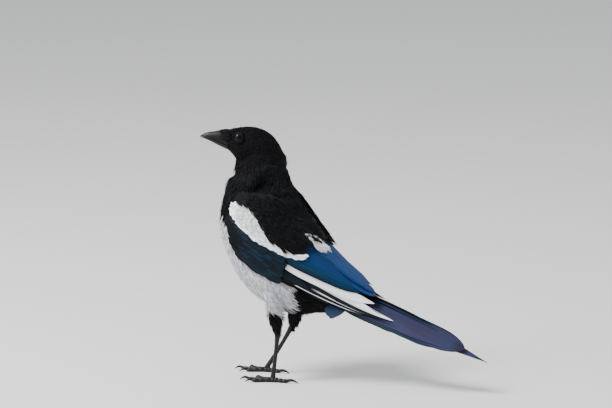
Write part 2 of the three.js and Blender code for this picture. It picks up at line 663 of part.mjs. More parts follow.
function tarsusForm(leg, grow = 0) {
  const points = [
    leg.ankle.clone().addScaledVector(vec(0, 0, 1), -0.2),
    leg.ankle.clone().lerp(leg.foot, 0.5),
    leg.foot,
  ];
  const steps = scutes * 2 + 2;
  const radii = Array.from({ length: steps - 1 }, (_, i) => {
    const t = i / (steps - 2);
    const { ankle, middle, foot } = tarsusThick;
    const base = t < 0.5 ? mix(ankle, middle, min(t / 0.3, 1)) : mix(middle, foot, (t - 0.5) * 2);
    return base + grow + (i % 2 ? 0.14 : 0);
  });
  return limb(points, radii, 7, steps, vec(0.9, 1.15, 1));
}

function padForm(foot) {
  const geometry = new THREE.SphereGeometry(3.1, 10, 6);
  geometry.scale(1, 1.1, 0.85);
  geometry.translate(foot.x, foot.y, 2.2);
  return solidOf(geometry);
}

function footForm(side, leg) {
  const parts = [tarsusForm(leg), padForm(leg.foot), ...toes.map((toe) => toeForm(side, leg.foot, toe))];
  return largest(fuse(parts).trimByPlane([0, 0, 1], 0));
}

function clawForm(side, foot, { heading: way, length, claw, thick }, grow = 0) {
  const ahead = heading(side, way);
  const start = vec(foot.x, foot.y, soleHeight + 0.1).addScaledVector(ahead, length - 0.6 - grow);
  const bend = start.clone().addScaledVector(ahead, claw * 0.55).add(vec(0, 0, 0.9));
  const end = start.clone().addScaledVector(ahead, claw).add(vec(0, 0, -1.3));
  const radii = [0.56, 0.42, 0.14].map((share) => thick * share + grow);
  return limb([start, bend, end], radii, 6, 5, vec(0.85, 1.1, 1));
}

// A limb's form, with a little room round it for the piece it passes through
function shankForm(leg, grow = 0) {
  const radii = [shank.top, shank.belly * 1.05, shank.belly * 0.82, shank.ankle].map((r) => r + grow);
  return limb([leg.hip, leg.belly, leg.ankle], radii, 11, 7);
}

// The belly's feathers hang over the thighs in loose locks
const bellyHem = { count: 5, half: 6, spread: 60 };

function bellyLocks() {
  return Array.from({ length: bellyHem.count }, (_, i) => {
    const share = (i / (bellyHem.count - 1)) * 2 - 1;
    const turn = PI + share * rad(bellyHem.spread);
    const start = trunkSection(0.64, turn, 1.4);
    const bend = trunkSection(0.7, turn, -0.6).add(vec(0, -1, -0.8));
    const end = trunkSection(0.74, turn, -1).add(vec(share, -2, -3 - 2 * (i % 2)));
    const outwards = trunkSection(0.68, turn).sub(trunkLine.getPoint(0.68)).normalize();
    const half = (t) => bellyHem.half * (1 - 0.7 * t);
    return blade({ points: [start, bend, end], outwards: () => outwards, half, rings: 3, tip: 0.5 });
  });
}

// A cut across a solid that leaves the gap between its two sides
function cutAcross(solid, { at, facing }) {
  const offset = facing.dot(at);
  return {
    ahead: solid.trimByPlane(facing.toArray(), offset + gap / 2),
    behind: solid.trimByPlane(facing.clone().negate().toArray(), -offset + gap / 2),
  };
}

const cuts = {
  neckTop: { at: vec(0, -12, 200), facing: vec(0, sin(rad(-4)), cos(rad(-4))) },
  neckBase: { at: vec(0, -8, 172), facing: vec(0, sin(rad(8)), cos(rad(8))) },
  tailRoot: { at: trunkLine.getPoint(0.9), facing: trunkLine.getTangent(0.9) },
  face: { at: inHead(headFront, 0, 0), facing: headAhead },
};

// Putting the bird together
const bird = new THREE.Group();
bird.name = "eurasian_magpie";
const add = (name, solid, look) => bird.add(meshOf(name, solid, look));
const bothSides = (make) => Object.values(sides).map(make);

function addHead(above) {
  const round = cutAcross(fuse([headForm(), ...bothSides(lidRing)]), cuts.neckTop).ahead;
  const crown = cutAcross(fuse([round, above]), cuts.face).behind;
  const bristleLocks = fuse(bothSides(bristles).flat()).subtract(billForm(gap));
  const nape = fuse(napeLocks()).subtract(trunkForm(gap));
  const mouth = mouthSlot(30, 0.5).subtract(headForm(-1.2));
  const sockets = bothSides((side) => eyeball(side, gap));
  add("head", carve(fuse([crown, bristleLocks, nape]), ...sockets, mouth), finish.black);
}

function addBill() {
  const jaws = billForm().subtract(mouthSlot(9, gap)).decompose();
  jaws.sort((a, b) => b.volume() - a.volume());
  add("bill_upper", carve(jaws[0], ...bothSides(nostrilPit)), finish.horn);
  add("bill_lower", jaws[1], finish.horn);
}

function addTail(cone) {
  const vanes = Object.entries(sides).flatMap(([name, side]) =>
    rectrices[name].map((one) => rectrix(side, one)));
  const feathers = fuse([...vanes, ...tailCoverts.flatMap(tailCovertVanes)]);
  add("tail", carve(fuse([cone, cutAcross(feathers, cuts.tailRoot).ahead]), ...rooms), finish.tail);
}

function addLeg(name, side) {
  const leg = legs[name];
  const thigh = fuse([shankForm(leg), ...shankLocks(leg)]);
  add("thigh_" + name, thigh.subtract(tarsusForm(leg, gap)), finish.black);
  const claws = toes.map((toe) => clawForm(side, leg.foot, toe, gap));
  add("foot_" + name, carve(footForm(side, leg), ...claws), finish.scale);
  toes.forEach((toe) => add("claw_" + name + "_" + toe.name, clawForm(side, leg.foot, toe), finish.horn));
}

const upper = cutAcross(trunkWhole, cuts.neckTop);
const lower = cutAcross(upper.behind, cuts.neckBase);
const body = cutAcross(lower.behind, cuts.tailRoot);

addHead(upper.ahead);
addBill();
for (const [name, side] of Object.entries(sides)) add("eye_" + name, eyeball(side, 0), finish.eye);
add("neck", lower.ahead, finish.black);
const thighRoom = Object.values(legs).map((leg) => shankForm(leg, gap));
add("torso", carve(fuse([body.behind, ...bellyLocks()]), ...rooms, ...thighRoom), finish.white);
for (const [name, side] of Object.entries(sides)) add("wing_" + name, wingForm(side), finish.blue);
addTail(body.ahead);
for (const [name, side] of Object.entries(sides)) addLeg(name, side);

// The origin is under the middle of the whole bird, on the ground
const box = new THREE.Box3().setFromObject(bird);
const middle = box.getCenter(vec(0, 0, 0));
bird.position.set(-middle.x, -middle.y, -box.min.z);
bird.updateMatrixWorld(true);

export default bird;
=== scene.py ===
import itertools
import math

import bmesh
import bpy
import numpy as np
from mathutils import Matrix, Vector


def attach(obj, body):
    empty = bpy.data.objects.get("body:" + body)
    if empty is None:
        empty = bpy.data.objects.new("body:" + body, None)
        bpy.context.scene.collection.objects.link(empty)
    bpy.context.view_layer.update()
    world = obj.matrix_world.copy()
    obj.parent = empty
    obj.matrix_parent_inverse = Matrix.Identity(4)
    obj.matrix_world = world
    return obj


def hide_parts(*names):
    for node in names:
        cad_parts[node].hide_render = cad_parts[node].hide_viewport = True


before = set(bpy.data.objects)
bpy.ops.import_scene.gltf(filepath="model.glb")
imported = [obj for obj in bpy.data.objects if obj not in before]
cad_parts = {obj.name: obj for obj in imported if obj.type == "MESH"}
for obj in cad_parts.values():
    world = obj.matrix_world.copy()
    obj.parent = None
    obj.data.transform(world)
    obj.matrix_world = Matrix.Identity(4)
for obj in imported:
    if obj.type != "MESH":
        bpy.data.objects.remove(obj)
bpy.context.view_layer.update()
mm = 0.001
rng = np.random.default_rng(7)
sides = {"left": 1, "right": -1}


# Small helpers for vectors held as arrays

def unit(v):
    return v / np.maximum(np.linalg.norm(v, axis=-1, keepdims=True), 1e-9)


def mix(a, b, t):
    return a + (b - a) * t


def smooth(x, low, high):
    t = np.clip((x - low) / (high - low), 0, 1)
    return t * t * (3 - 2 * t)


def vec(*xyz):
    return np.array(xyz, dtype=float)


def spline(stations, t):
    # Smooth curve through rows of numbers, t from 0 to 1.
    rows = np.asarray(stations, dtype=float)
    last = len(rows) - 1
    at = np.clip(np.asarray(t, dtype=float), 0, 1) * last
    i = np.minimum(at.astype(int), last - 1)
    f = (at - i)[..., None] if rows.ndim > 1 else at - i
    p, q, r, s = (rows[np.clip(i + k, 0, last)] for k in (-1, 0, 1, 2))
    return q + 0.5 * f * (r - p + f * (2 * p - 5 * q + 4 * r - s + f * (3 * (q - r) + s - p)))


def splineAt(stations, key, value):
    # The same, with the stations placed by their first number.
    rows = np.asarray(stations, dtype=float)
    share = np.interp(value, rows[:, 0], np.linspace(0, 1, len(rows)))
    return spline(rows[:, key], share)


# Trunk, head and legs: the same named sizes as the solids, in millimetres

trunk = {
    "stations": [  # y, z, half width, reach to the back, reach to the breast
        (-15, 213.5, 14.5, 17, 19.5),
        (-11.5, 204, 17.5, 24, 24),
        (-8.5, 192, 21.5, 27, 25.5),
        (-8.5, 178, 29, 35, 33.5),
        (-6, 161, 36.5, 41, 41),
        (-1, 140, 41, 43, 45),
        (15, 113, 40, 41, 45.5),
        (35, 93, 32, 32, 36),
        (54, 82, 19, 19, 21),
        (72, 75, 9, 9, 9),
    ],
    "inset": 3.2,  # depth of the body feathers over the skin
}

head = {
    "at": vec(0, -14, 216.3),
    "turn": math.radians(20),
    "pitch": math.radians(3),
    "profile": [  # ahead, top, bottom, half width
        (27.5, 15.6, -3.9, 7.2),
        (22, 17.3, -8, 9.8),
        (14, 19.2, -16, 12.9),
        (6, 19.9, -16, 15),
        (-3, 19.0, -18, 16.3),
        (-12, 15.2, -18, 16.2),
        (-20, 7.6, -17, 14),
        (-26.5, -2.5, -17, 9),
    ],
    "inset": 1.5,
}
eye = {"radius": 5.4, "ahead": 14.4, "out": 8.7, "up": 8.4}

ahead = vec(
    math.sin(head["turn"]) * math.cos(head["pitch"]),
    -math.cos(head["turn"]) * math.cos(head["pitch"]),
    math.sin(head["pitch"]),
)
outward = vec(math.cos(head["turn"]), math.sin(head["turn"]), 0)
upward = np.cross(ahead, outward) * -1
upward = upward if upward[2] > 0 else -upward
headAxes = np.stack([ahead, outward, upward])


def inHead(f, o, u):
    return head["at"] + np.stack(np.broadcast_arrays(f, o, u), axis=-1) @ headAxes


def toHead(p):
    return (p - head["at"]) @ headAxes.T


# From the bird's own frame, with its origin between the feet, to the centre of the box in the shared frame
shift = vec(0, -78.663, 0)


def toScene(p):
    return (p + shift) * mm


def trunkPoint(along, turn, inset=0.0):
    at = np.clip((along - 0.05) / 0.9, 0, 1)
    end = np.clip(np.minimum(along, 1 - along) / 0.05, 0, 1)
    dome = np.sqrt(np.clip(1 - (1 - end) ** 2, 0, 1))
    size = spline(trunk["stations"], at)
    before, after = (spline(trunk["stations"], at + step)[..., :2] for step in (-0.01, 0.01))
    tangent = unit(after - before)
    over = np.where(along < 0.05, -6.0, 9.0) * (1 - end)
    thin = mix(0.15, 0.8, smooth(at, 0.3, 0.7))  # the throat's feathers are short
    deep = mix(0.2, 1.6, smooth(at, 0.25, 0.42))
    rise = np.where(np.cos(turn) > 0, size[..., 3] - inset * deep, size[..., 4] - inset * thin)
    lift = np.cos(turn) * rise * dome
    y = size[..., 0] + tangent[..., 0] * over - tangent[..., 1] * lift
    z = size[..., 1] + tangent[..., 1] * over + tangent[..., 0] * lift
    x = np.sin(turn) * (size[..., 2] - inset) * dome
    return np.stack(np.broadcast_arrays(x, y, z), axis=-1)


def headPoint(along, turn, inset=0.0):
    rows = np.clip((along - 0.04) / 0.92, 0, 1)
    end = np.clip(np.minimum(along, 1 - along) / 0.04, 0, 1)
    dome = np.sqrt(np.clip(1 - (1 - end) ** 2, 0, 1))
    size = spline(head["profile"], rows)
    top, bottom = size[..., 1] - inset, size[..., 2] + inset
    middle = (top + bottom) / 2
    flat = 1 - 0.1 * np.clip(np.cos(turn), 0, 1) ** 2
    over = np.where(along < 0.5, -1.0, -3.0) * (1 - end)
    lift = np.cos(turn) * (top - middle) * dome
    return inHead(size[..., 0] + over, np.sin(turn) * (size[..., 3] - inset) * flat * dome, middle + lift)


# Skin

def shapedSphere(place, around, rings):
    ball = bmesh.new()
    bmesh.ops.create_uvsphere(ball, u_segments=around, v_segments=rings, radius=1)
    ball.verts.ensure_lookup_table()
    co = np.array([v.co[:] for v in ball.verts])
    along = np.arccos(np.clip(co[:, 2], -1, 1)) / math.pi
    turn = np.arctan2(co[:, 1], co[:, 0])
    for vert, p in zip(ball.verts, place(along, turn)):
        vert.co = p
    bmesh.ops.recalc_face_normals(ball, faces=ball.faces)
    return ball


def gather(parts):
    whole = bmesh.new()
    for part in parts:
        mesh = bpy.data.meshes.new("part")
        part.to_mesh(mesh)
        part.free()
        whole.from_mesh(mesh)
        bpy.data.meshes.remove(mesh)
    return whole


def pieceFrom(name, bm):
    # A finished piece from a bmesh in the bird's millimetres.
    co = toScene(np.array([v.co[:] for v in bm.verts]))
    for vert, p in zip(bm.verts, co):
        vert.co = p
    mesh = bpy.data.meshes.new(name)
    bm.to_mesh(mesh)
    bm.free()
    for polygon in mesh.polygons:
        polygon.use_smooth = True
    piece = bpy.data.objects.new(name, mesh)
    bpy.context.scene.collection.objects.link(piece)
    return piece


def applied(piece):
    # Bakes a piece's modifiers into its mesh.
    graph = bpy.context.evaluated_depsgraph_get()
    mesh = bpy.data.meshes.new_from_object(piece.evaluated_get(graph))
    piece.modifiers.clear()
    old = piece.data
    piece.data = mesh
    bpy.data.meshes.remove(old)


legs = {
    "left": {
        "hip": vec(21, 13, 88),
        "belly": vec(21.5, 15.5, 66),
        "ankle": vec(20.5, 18.5, 44.5),
        "foot": vec(22, 14, 3.2),
    },
    "right": {
        "hip": vec(-21, 20, 88),
        "belly": vec(-20.5, 18, 62),
        "ankle": vec(-20, 15, 44.5),
        "foot": vec(-22, -13, 3.2),
    },
}
shank = {"radii": (11, 8.4, 6.6, 3.2), "inset": 1.2}


def limbPoint(points, radii, along, turn, stretch=(1, 1), cap=0.08):
    # A round limb through some points: along 0 to 1, turn in radians.
    at = np.clip((along - cap) / (1 - 2 * cap), 0, 1)
    end = np.clip(np.minimum(along, 1 - along) / cap, 0, 1)
    dome = np.sqrt(np.clip(1 - (1 - end) ** 2, 0, 1))
    tangent = unit(spline(points, np.clip(at + 0.02, 0, 1)) - spline(points, np.clip(at - 0.02, 0, 1)))
    across = unit(vec(1, 0, 0) - tangent * tangent[..., :1])
    over = np.cross(across, tangent)
    r = spline(radii, at)[..., None]
    beyond = np.where(along < 0.5, -0.6, 0.6)[..., None] * (1 - end)[..., None] * r
    ring = across * (np.cos(turn)[..., None] * stretch[0]) + over * (np.sin(turn)[..., None] * stretch[1])
    return spline(points, at) + tangent * beyond + ring * r * dome[..., None]


def shankPoint(name, along, turn, inset=0.0):
    leg = legs[name]
    radii = [r - inset for r in shank["radii"]]
    return limbPoint([leg["hip"], leg["belly"], leg["ankle"] + vec(0, 0, 1.5)], radii, along, turn)


# Wings: a tapering barrel along each folded wing

barrel = {
    "shoulder": vec(0, -28, 149.5),
    "slope": math.radians(27.8),
    "stations": [  # u, half width, half height, middle
        (-6, 31, 52, 0),
        (10, 38.5, 55, -1),
        (28, 42, 54, -2),
        (55, 40.5, 43, -3.5),
        (85, 34, 32.5, -6),
        (105, 28.5, 26.5, -7),
        (140, 21.5, 16, -5),
        (165, 18, 10.5, -2.5),
        (190, 15, 6.5, 0),
    ],
    "settle": (5.6, 2.4),  # how far the feathers on the back lie below it, ahead and behind
}
wingAlong = vec(0, math.cos(barrel["slope"]), -math.sin(barrel["slope"]))
wingUp = vec(0, math.sin(barrel["slope"]), math.cos(barrel["slope"]))


def barrelSizes(u):
    return [splineAt(barrel["stations"], k, u) for k in (1, 2, 3)]


def onWing(side, u, turn, h):
    wide, high, middle = barrelSizes(u)
    h = h - mix(*barrel["settle"], smooth(u, 96, 122)) * smooth(turn, math.radians(36), math.radians(72))
    v = middle + (high + h) * np.sin(turn)
    x = side * (wide + h) * np.cos(turn)
    flat = barrel["shoulder"] + np.multiply.outer(u, wingAlong) + np.multiply.outer(v, wingUp)
    return flat + np.multiply.outer(x, vec(1, 0, 0))


def turnAt(u, v):
    wide, high, middle = barrelSizes(u)
    return np.arcsin(np.clip((v - middle) / high, -0.98, 0.98))


def wingOut(side, u, turn):
    wide, high, _ = barrelSizes(u)
    aside = np.multiply.outer(side * np.cos(turn) / wide, vec(1, 0, 0))
    return unit(aside + np.multiply.outer(np.sin(turn) / high, wingUp))


def wingPlace(p):
    # u, turn and height over the barrel of points in the bird's frame.
    rel = p - barrel["shoulder"]
    u, v, x = rel @ wingAlong, rel @ wingUp, np.abs(rel[..., 0])
    wide, high, middle = barrelSizes(u)
    turn = np.arctan2((v - middle) / high, x / wide)
    reach = np.hypot(v - middle, x)
    surface = np.hypot(high * np.sin(turn), wide * np.cos(turn))
    return u, turn, reach - surface


def lowerEdge(u):
    return np.radians(mix(-5, -35, smooth(u, -6, 40)))


def underWing(p, margin=0.0):
    # True where the folded wing covers the body.
    u, turn, h = wingPlace(p)
    top = np.radians(mix(mix(24, 60, smooth(u, 0, 72)), 93, smooth(u, 50, 84)))
    within = (turn > lowerEdge(u) + math.radians(margin)) & (turn < top)
    return within & (u > 2 + margin) & (u < 150) & (h > -14)


def makeSkin():
    parts = [
        shapedSphere(lambda a, t: trunkPoint(a, t, trunk["inset"]), 56, 60),
        shapedSphere(lambda a, t: headPoint(a, t, head["inset"]), 44, 40),
    ]
    for name in sides:
        parts.append(shapedSphere(lambda a, t: shankPoint(name, a, t, shank["inset"]), 20, 20))
    piece = pieceFrom("skin", gather(parts))
    remesh = piece.modifiers.new("remesh", "REMESH")
    remesh.mode = "VOXEL"
    remesh.voxel_size = 1.3 * mm
    soften = piece.modifiers.new("soften", "SMOOTH")
    soften.factor = 0.6
    soften.iterations = 6
    applied(piece)
    mesh = piece.data
    co = np.empty(len(mesh.vertices) * 3)
    mesh.vertices.foreach_get("co", co)
    p = co.reshape(-1, 3) / mm - shift
    u, turn, h = wingPlace(p)
    cover = smooth(u, 0, 12) * (1 - smooth(u, 120, 140))
    cover *= smooth(turn, lowerEdge(u) - 0.02, lowerEdge(u) + 0.08) * (1 - smooth(turn, 1.0, 1.3))
    sink = np.clip(h + 6.5, 0, 8) * cover
    mirror = np.ones(p.shape)
    mirror[:, 0] = np.sign(p[:, 0])
    p -= wingOut(1, u, turn) * mirror * sink[:, None]
    mesh.vertices.foreach_set("co", toScene(p).ravel())
    mesh.update()
    mesh.shade_smooth()
    return piece


# Markings: where the plumage is white, as a share from 0 to 1

marks = {
    "bibEnd": 147,  # height of the black bib's hem at the breast
    "ventStart": 31,  # how far back the white belly reaches
    "ragged": 4.0,
}


def waves(p, size):
    # A smooth uneven field, about 1 each way, with bumps of the given size.
    q = p / size
    a = np.sin(q[..., 0] * 1.7 + 1.3 * np.sin(q[..., 1] * 1.1) + 0.5)
    b = np.sin(q[..., 1] * 2.1 + 1.1 * np.sin(q[..., 2] * 1.6) + 1.9)
    c = np.sin(q[..., 2] * 1.9 + 1.2 * np.sin(q[..., 0] * 1.3) + 4.1)
    return (a + b + c) / 1.8


def whiteness(p):
    ragged = waves(p, 9) * marks["ragged"]
    slope = p[..., 2] + ragged * 0.6 + 0.22 * (p[..., 1] + 45) - 0.3 * np.minimum(np.abs(p[..., 0]), 30)
    belowBib = smooth(-slope, -marks["bibEnd"] - 1.5, -marks["bibEnd"] + 1.5)
    beforeVent = smooth(-(p[..., 1] + ragged), -marks["ventStart"] - 1.5, -marks["ventStart"] + 1.5)
    _, turn, _ = wingPlace(p)
    belowBack = smooth(-turn, -0.5, -0.4)
    aboveShank = smooth(p[..., 2] + ragged * 0.5, 67, 69)
    return belowBib * beforeVent * belowBack * aboveShank


# Feathers: one small closed form, repeated and bent to its place

def vaneTemplate(cols, rows):
    # A vane's form as across (-1 to 1), along (0 to 1) and depth (-1 or 1).
    sheet = bmesh.new()
    bmesh.ops.create_grid(sheet, x_segments=cols, y_segments=rows, size=1)
    made = bmesh.ops.extrude_face_region(sheet, geom=sheet.faces[:])
    for vert in [g for g in made["geom"] if isinstance(g, bmesh.types.BMVert)]:
        vert.co.z += 1
    bmesh.ops.recalc_face_normals(sheet, faces=sheet.faces)
    bmesh.ops.triangulate(sheet, faces=sheet.faces)
    co = np.array([v.co[:] for v in sheet.verts])
    faces = np.array([[v.index for v in f.verts] for f in sheet.faces])
    sheet.free()
    along = (co[:, 1] + 1) / 2
    return np.stack([co[:, 0], 1 - (1 - along) ** 1.25, co[:, 2] * 2 - 1], 1), faces


def lockTemplate(rings):
    # A tapered lock with three sides and a point, as across, along and depth.
    lock = bmesh.new()
    bmesh.ops.create_cone(lock, cap_ends=True, segments=3, radius1=1, radius2=0.02, depth=1)
    bmesh.ops.translate(lock, verts=lock.verts, vec=(0, 0, 0.5))
    for k in range(1, rings):
        cut = lock.verts[:] + lock.edges[:] + lock.faces[:]
        bmesh.ops.bisect_plane(lock, geom=cut, plane_co=(0, 0, k / rings), plane_no=(0, 0, 1))
    for vert in lock.verts:
        reach = math.hypot(vert.co.x, vert.co.y)
        vert.co.x, vert.co.y = vert.co.x / reach, vert.co.y / reach
    tip = [vert for vert in lock.verts if vert.co.z > 0.99]
    bmesh.ops.pointmerge(lock, verts=tip, merge_co=(0, 0, 1))
    bmesh.ops.triangulate(lock, faces=lock.faces)
    bmesh.ops.recalc_face_normals(lock, faces=lock.faces)
    lock.verts.index_update()
    co = np.array([v.co[:] for v in lock.verts])
    faces = np.array([[v.index for v in f.verts] for f in lock.faces])
    lock.free()
    return np.stack([co[:, 0], co[:, 2], co[:, 1]], 1), faces[:, ::-1]


vaneUnit = 100  # millimetres to one unit of the vane map


def outlineOf(t, quill, tipFrom, curve, power):
    # Share of the full half width along a vane.
    base = mix(quill, 1, np.clip(t / 0.3, 0, 1) ** 0.7)
    tip = np.clip((t - tipFrom) / (1 - tipFrom), 0, 1)
    return base * (1 - tip ** curve) ** power


thirds = np.array([0, 1 / 3, 2 / 3, 1])  # where the four points of a feather's shaft lie along it
tipKeys = ("tipFrom", "tipCurve", "tipPower")


def through(t):
    # Weights of a smooth curve through four points at even steps.
    return np.stack([np.prod([(t - q) / (p - q) for q in thirds if q != p], axis=0) for p in thirds], 1)


def layFeathers(name, template, lays, materials):
    # Bends a template along every lay and joins all into one piece. Each lay is a dictionary of arrays.
    form, faces = template
    a, t, d = form.T
    n, m = len(lays["half"]), len(form)
    basis = through(t)
    onward = through(t + 0.01) - basis
    axis = lays["axis"]
    centre = np.einsum("mk,nkx->nmx", basis, axis)
    tangent = unit(np.einsum("mk,nkx->nmx", onward, axis))
    if lays["out"].shape[1] == 4:
        out = np.einsum("mk,nkx->nmx", basis, lays["out"])
    else:
        out = mix(lays["out"][:, None, 0], lays["out"][:, None, 1], t[None, :, None])
    out = unit(out - tangent * np.sum(out * tangent, -1, keepdims=True))
    across = np.cross(tangent, out)

    def col(key, default):
        return np.broadcast_to(np.asarray(lays.get(key, default), dtype=float), (n,))[:, None]

    usual = {"quill": 0.3, "tipFrom": 0.72, "tipCurve": 2.0, "tipPower": 0.5}
    wide = col("half", 1) * outlineOf(t[None], *(col(key, value) for key, value in usual.items()))
    skew = col("skew", 0.0)  # one web wider than the other
    reach = a[None] * wide * (1 + skew * np.sign(a)[None])
    seed = lays["seed"][:, None]
    edge = waves(np.stack([t * 9 + seed * 7, a * 2 + seed * 3, t * 5 + 0 * seed], -1), 1.0)
    reach = reach * (1 + col("ragged", 0.03) * edge)
    deep = d[None] * col("thick", 0.15) * (1 - 0.7 * np.abs(a[None])) * (1 - 0.5 * t[None])
    ridge = col("ridge", 0.0) * np.exp(-((a[None] * wide) / 0.6) ** 2) * (1 - 0.8 * t[None]) * (d[None] > 0)
    sag = -col("camber", 0.0) * (a[None] * wide) ** 2
    place = centre + across * reach[..., None] + out * (deep + ridge + sag)[..., None]
    mesh = bpy.data.meshes.new(name)
    allFaces = (faces[None] + (np.arange(n) * m)[:, None, None]).reshape(-1, 3)
    mesh.vertices.add(n * m)
    mesh.vertices.foreach_set("co", toScene(place.reshape(-1, 3)).astype(np.float32).ravel())
    mesh.loops.add(allFaces.size)
    mesh.loops.foreach_set("vertex_index", allFaces.ravel().astype(np.int32))
    mesh.polygons.add(len(allFaces))
    mesh.polygons.foreach_set("loop_start", np.arange(0, allFaces.size, 3, dtype=np.int32))
    ownMaterial = np.repeat(lays.get("material", np.zeros(n, int)), len(faces))
    mesh.polygons.foreach_set("material_index", ownMaterial.astype(np.int32))
    mesh.update(calc_edges=True)
    flat = allFaces.ravel()
    length = np.linalg.norm(np.diff(axis, axis=1), axis=-1).sum(1)[:, None]
    vane = np.stack([reach, t[None] * length], -1).reshape(-1, 2) / vaneUnit
    for layer, places in (("OFBake", bakePlaces(lays, a, t)), ("vane", vane)):
        mesh.uv_layers.new(name=layer).data.foreach_set("uv", places[flat].astype(np.float32).ravel())
    marksOf = mesh.attributes.new("marks", "FLOAT_VECTOR", "POINT")
    marksOf.data.foreach_set("vector", lays["marks"](a[None], t[None], wide).reshape(-1).astype(np.float32))
    for material in materials:
        mesh.materials.append(material)
    mesh.shade_smooth()
    piece = bpy.data.objects.new(name, mesh)
    bpy.context.scene.collection.objects.link(piece)
    print(name, n, "feathers", len(allFaces), "triangles")
    return piece


def bakePlaces(lays, a, t):
    # Each tuft is a small patch at its root's place on the unwrapped skin.
    # Long feathers have cells of their own.
    n = len(lays["half"])
    if "unwrap" in lays:
        middle = lays["unwrap"][:, None, :]
        local = np.stack([a * 0.0015, (t - 0.5) * 0.003], -1)[None]
        return (middle + local).reshape(-1, 2)
    across = int(math.ceil(math.sqrt(n * 4)))
    rows = int(math.ceil(n / across))
    index = np.arange(n)
    cell = np.stack([(index % across + 0.5) / across, (index // across + 0.5) / rows], -1)[:, None, :]
    local = np.stack([a * 0.42 / across, (t - 0.5) * 0.94 / rows], -1)[None]
    return (cell + local).reshape(-1, 2)


def plainMarks(values):
    # The same mark along a whole feather, for feathers given as rows of three numbers.
    def make(a, t, wide):
        return np.broadcast_to(values[:, None, :], (len(values), a.shape[-1], 3)).copy()

    return make


def shadeMarks(shade):
    return plainMarks(np.stack([shade * 0, shade, shade], 1))


# Materials

def srgb(code):
    parts = [int(code[i:i + 2], 16) / 255 for i in (1, 3, 5)]
    return [c / 12.92 if c <= 0.04045 else ((c + 0.055) / 1.055) ** 2.4 for c in parts] + [1]


def addNode(tree, kind, links=None, **settings):
    # Adds a node, sets its inputs by name or its own properties, and links inputs to other sockets.
    node = tree.nodes.new(kind)
    for key, value in settings.items():
        if hasattr(node, key):
            setattr(node, key, value)
        else:
            node.inputs[key.replace("_", " ")].default_value = value
    for key, source in (links or {}).items():
        tree.links.new(source, node.inputs[key])
    return node


def newMaterial(name):
    material = bpy.data.materials.new(name)
    material.use_nodes = True
    tree = material.node_tree
    tree.nodes.clear()
    output = tree.nodes.new("ShaderNodeOutputMaterial")
    shader = tree.nodes.new("ShaderNodeBsdfPrincipled")
    tree.links.new(shader.outputs[0], output.inputs[0])
    return material, tree, shader


def barbLines(tree, spacing, slant):
    # Fine lines of the barbs, slanting forwards from the shaft. Returns a wave from 0 to 1.
    uv = addNode(tree, "ShaderNodeUVMap", uv_map="vane")
    parts = addNode(tree, "ShaderNodeSeparateXYZ", {0: uv.outputs[0]})
    side = addNode(tree, "ShaderNodeMath", {0: parts.outputs[0]}, operation="ABSOLUTE")
    shifted = addNode(tree, "ShaderNodeMath", {0: side.outputs[0]}, operation="MULTIPLY")
    shifted.inputs[1].default_value = -slant
    phase = addNode(tree, "ShaderNodeMath", {0: parts.outputs[1], 1: shifted.outputs[0]}, operation="ADD")
    scaled = addNode(tree, "ShaderNodeMath", {0: phase.outputs[0]}, operation="MULTIPLY")
    scaled.inputs[1].default_value = vaneUnit / spacing * 2 * math.pi
    wave = addNode(tree, "ShaderNodeMath", {0: scaled.outputs[0]}, operation="SINE")
    return addNode(tree, "ShaderNodeMapRange", {"Value": wave.outputs[0]}, From_Min=-1.0, From_Max=1.0)


def markParts(tree):
    marksNode = addNode(tree, "ShaderNodeAttribute", attribute_name="marks")
    return addNode(tree, "ShaderNodeSeparateXYZ", {0: marksNode.outputs["Vector"]})


def ramp(tree, source, stops):
    node = addNode(tree, "ShaderNodeValToRGB", {0: source})
    while len(node.color_ramp.elements) < len(stops):
        node.color_ramp.elements.new(0.5)
    for element, (place, code) in zip(node.color_ramp.elements, stops):
        element.position = place
        element.color = srgb(code)
    return node


def mixColour(tree, share, first, second):
    node = addNode(tree, "ShaderNodeMix", {0: share, 6: first, 7: second}, data_type="RGBA")
    return node.outputs[2]


def setShader(shader, **values):
    # Sets the shader's own sockets, named with _ for each blank.
    for key, value in values.items():
        shader.inputs[key.replace("_", " ")].default_value = value


def addRelief(tree, shader, height, strength, depth):
    # Bumps in the shader's surface, up to the given depth in metres.
    node = addNode(tree, "ShaderNodeBump", {"Height": height.outputs[0]}, Strength=strength, Distance=depth)
    tree.links.new(node.outputs[0], shader.inputs["Normal"])


def texture(tree, kind, perMm, **settings):
    # A pattern over the object, with its scale given per millimetre.
    place = addNode(tree, "ShaderNodeTexCoord")
    return addNode(tree, kind, {"Vector": place.outputs["Object"]}, Scale=perMm / mm, **settings)


def plumage(name, dark, light, roughness, barb=(0.5, 0.9), bump=0.25, sheen=0.0, sheenTint="#8090b0"):
    # Vaned feathers: a soft matt surface combed into barbs. marks.z is each feather's own shade, and on
    # white body feathers also painted shade towards the rear and bottom.
    material, tree, shader = newMaterial(name)
    own = markParts(tree)
    lines = barbLines(tree, *barb)
    shade = addNode(tree, "ShaderNodeMath", {0: own.outputs[2], 1: lines.outputs[0]}, operation="ADD")
    half = addNode(tree, "ShaderNodeMath", {0: shade.outputs[0]}, operation="MULTIPLY")
    half.inputs[1].default_value = 0.5
    tone = ramp(tree, half.outputs[0], [(0.1, dark), (0.9, light)])
    tree.links.new(tone.outputs[0], shader.inputs["Base Color"])
    addRelief(tree, shader, lines, bump, 0.0002)
    setShader(shader, Roughness=roughness, Specular_IOR_Level=0.16)
    setShader(shader, Sheen_Weight=sheen, Sheen_Roughness=0.4, Sheen_Tint=srgb(sheenTint))
    return material


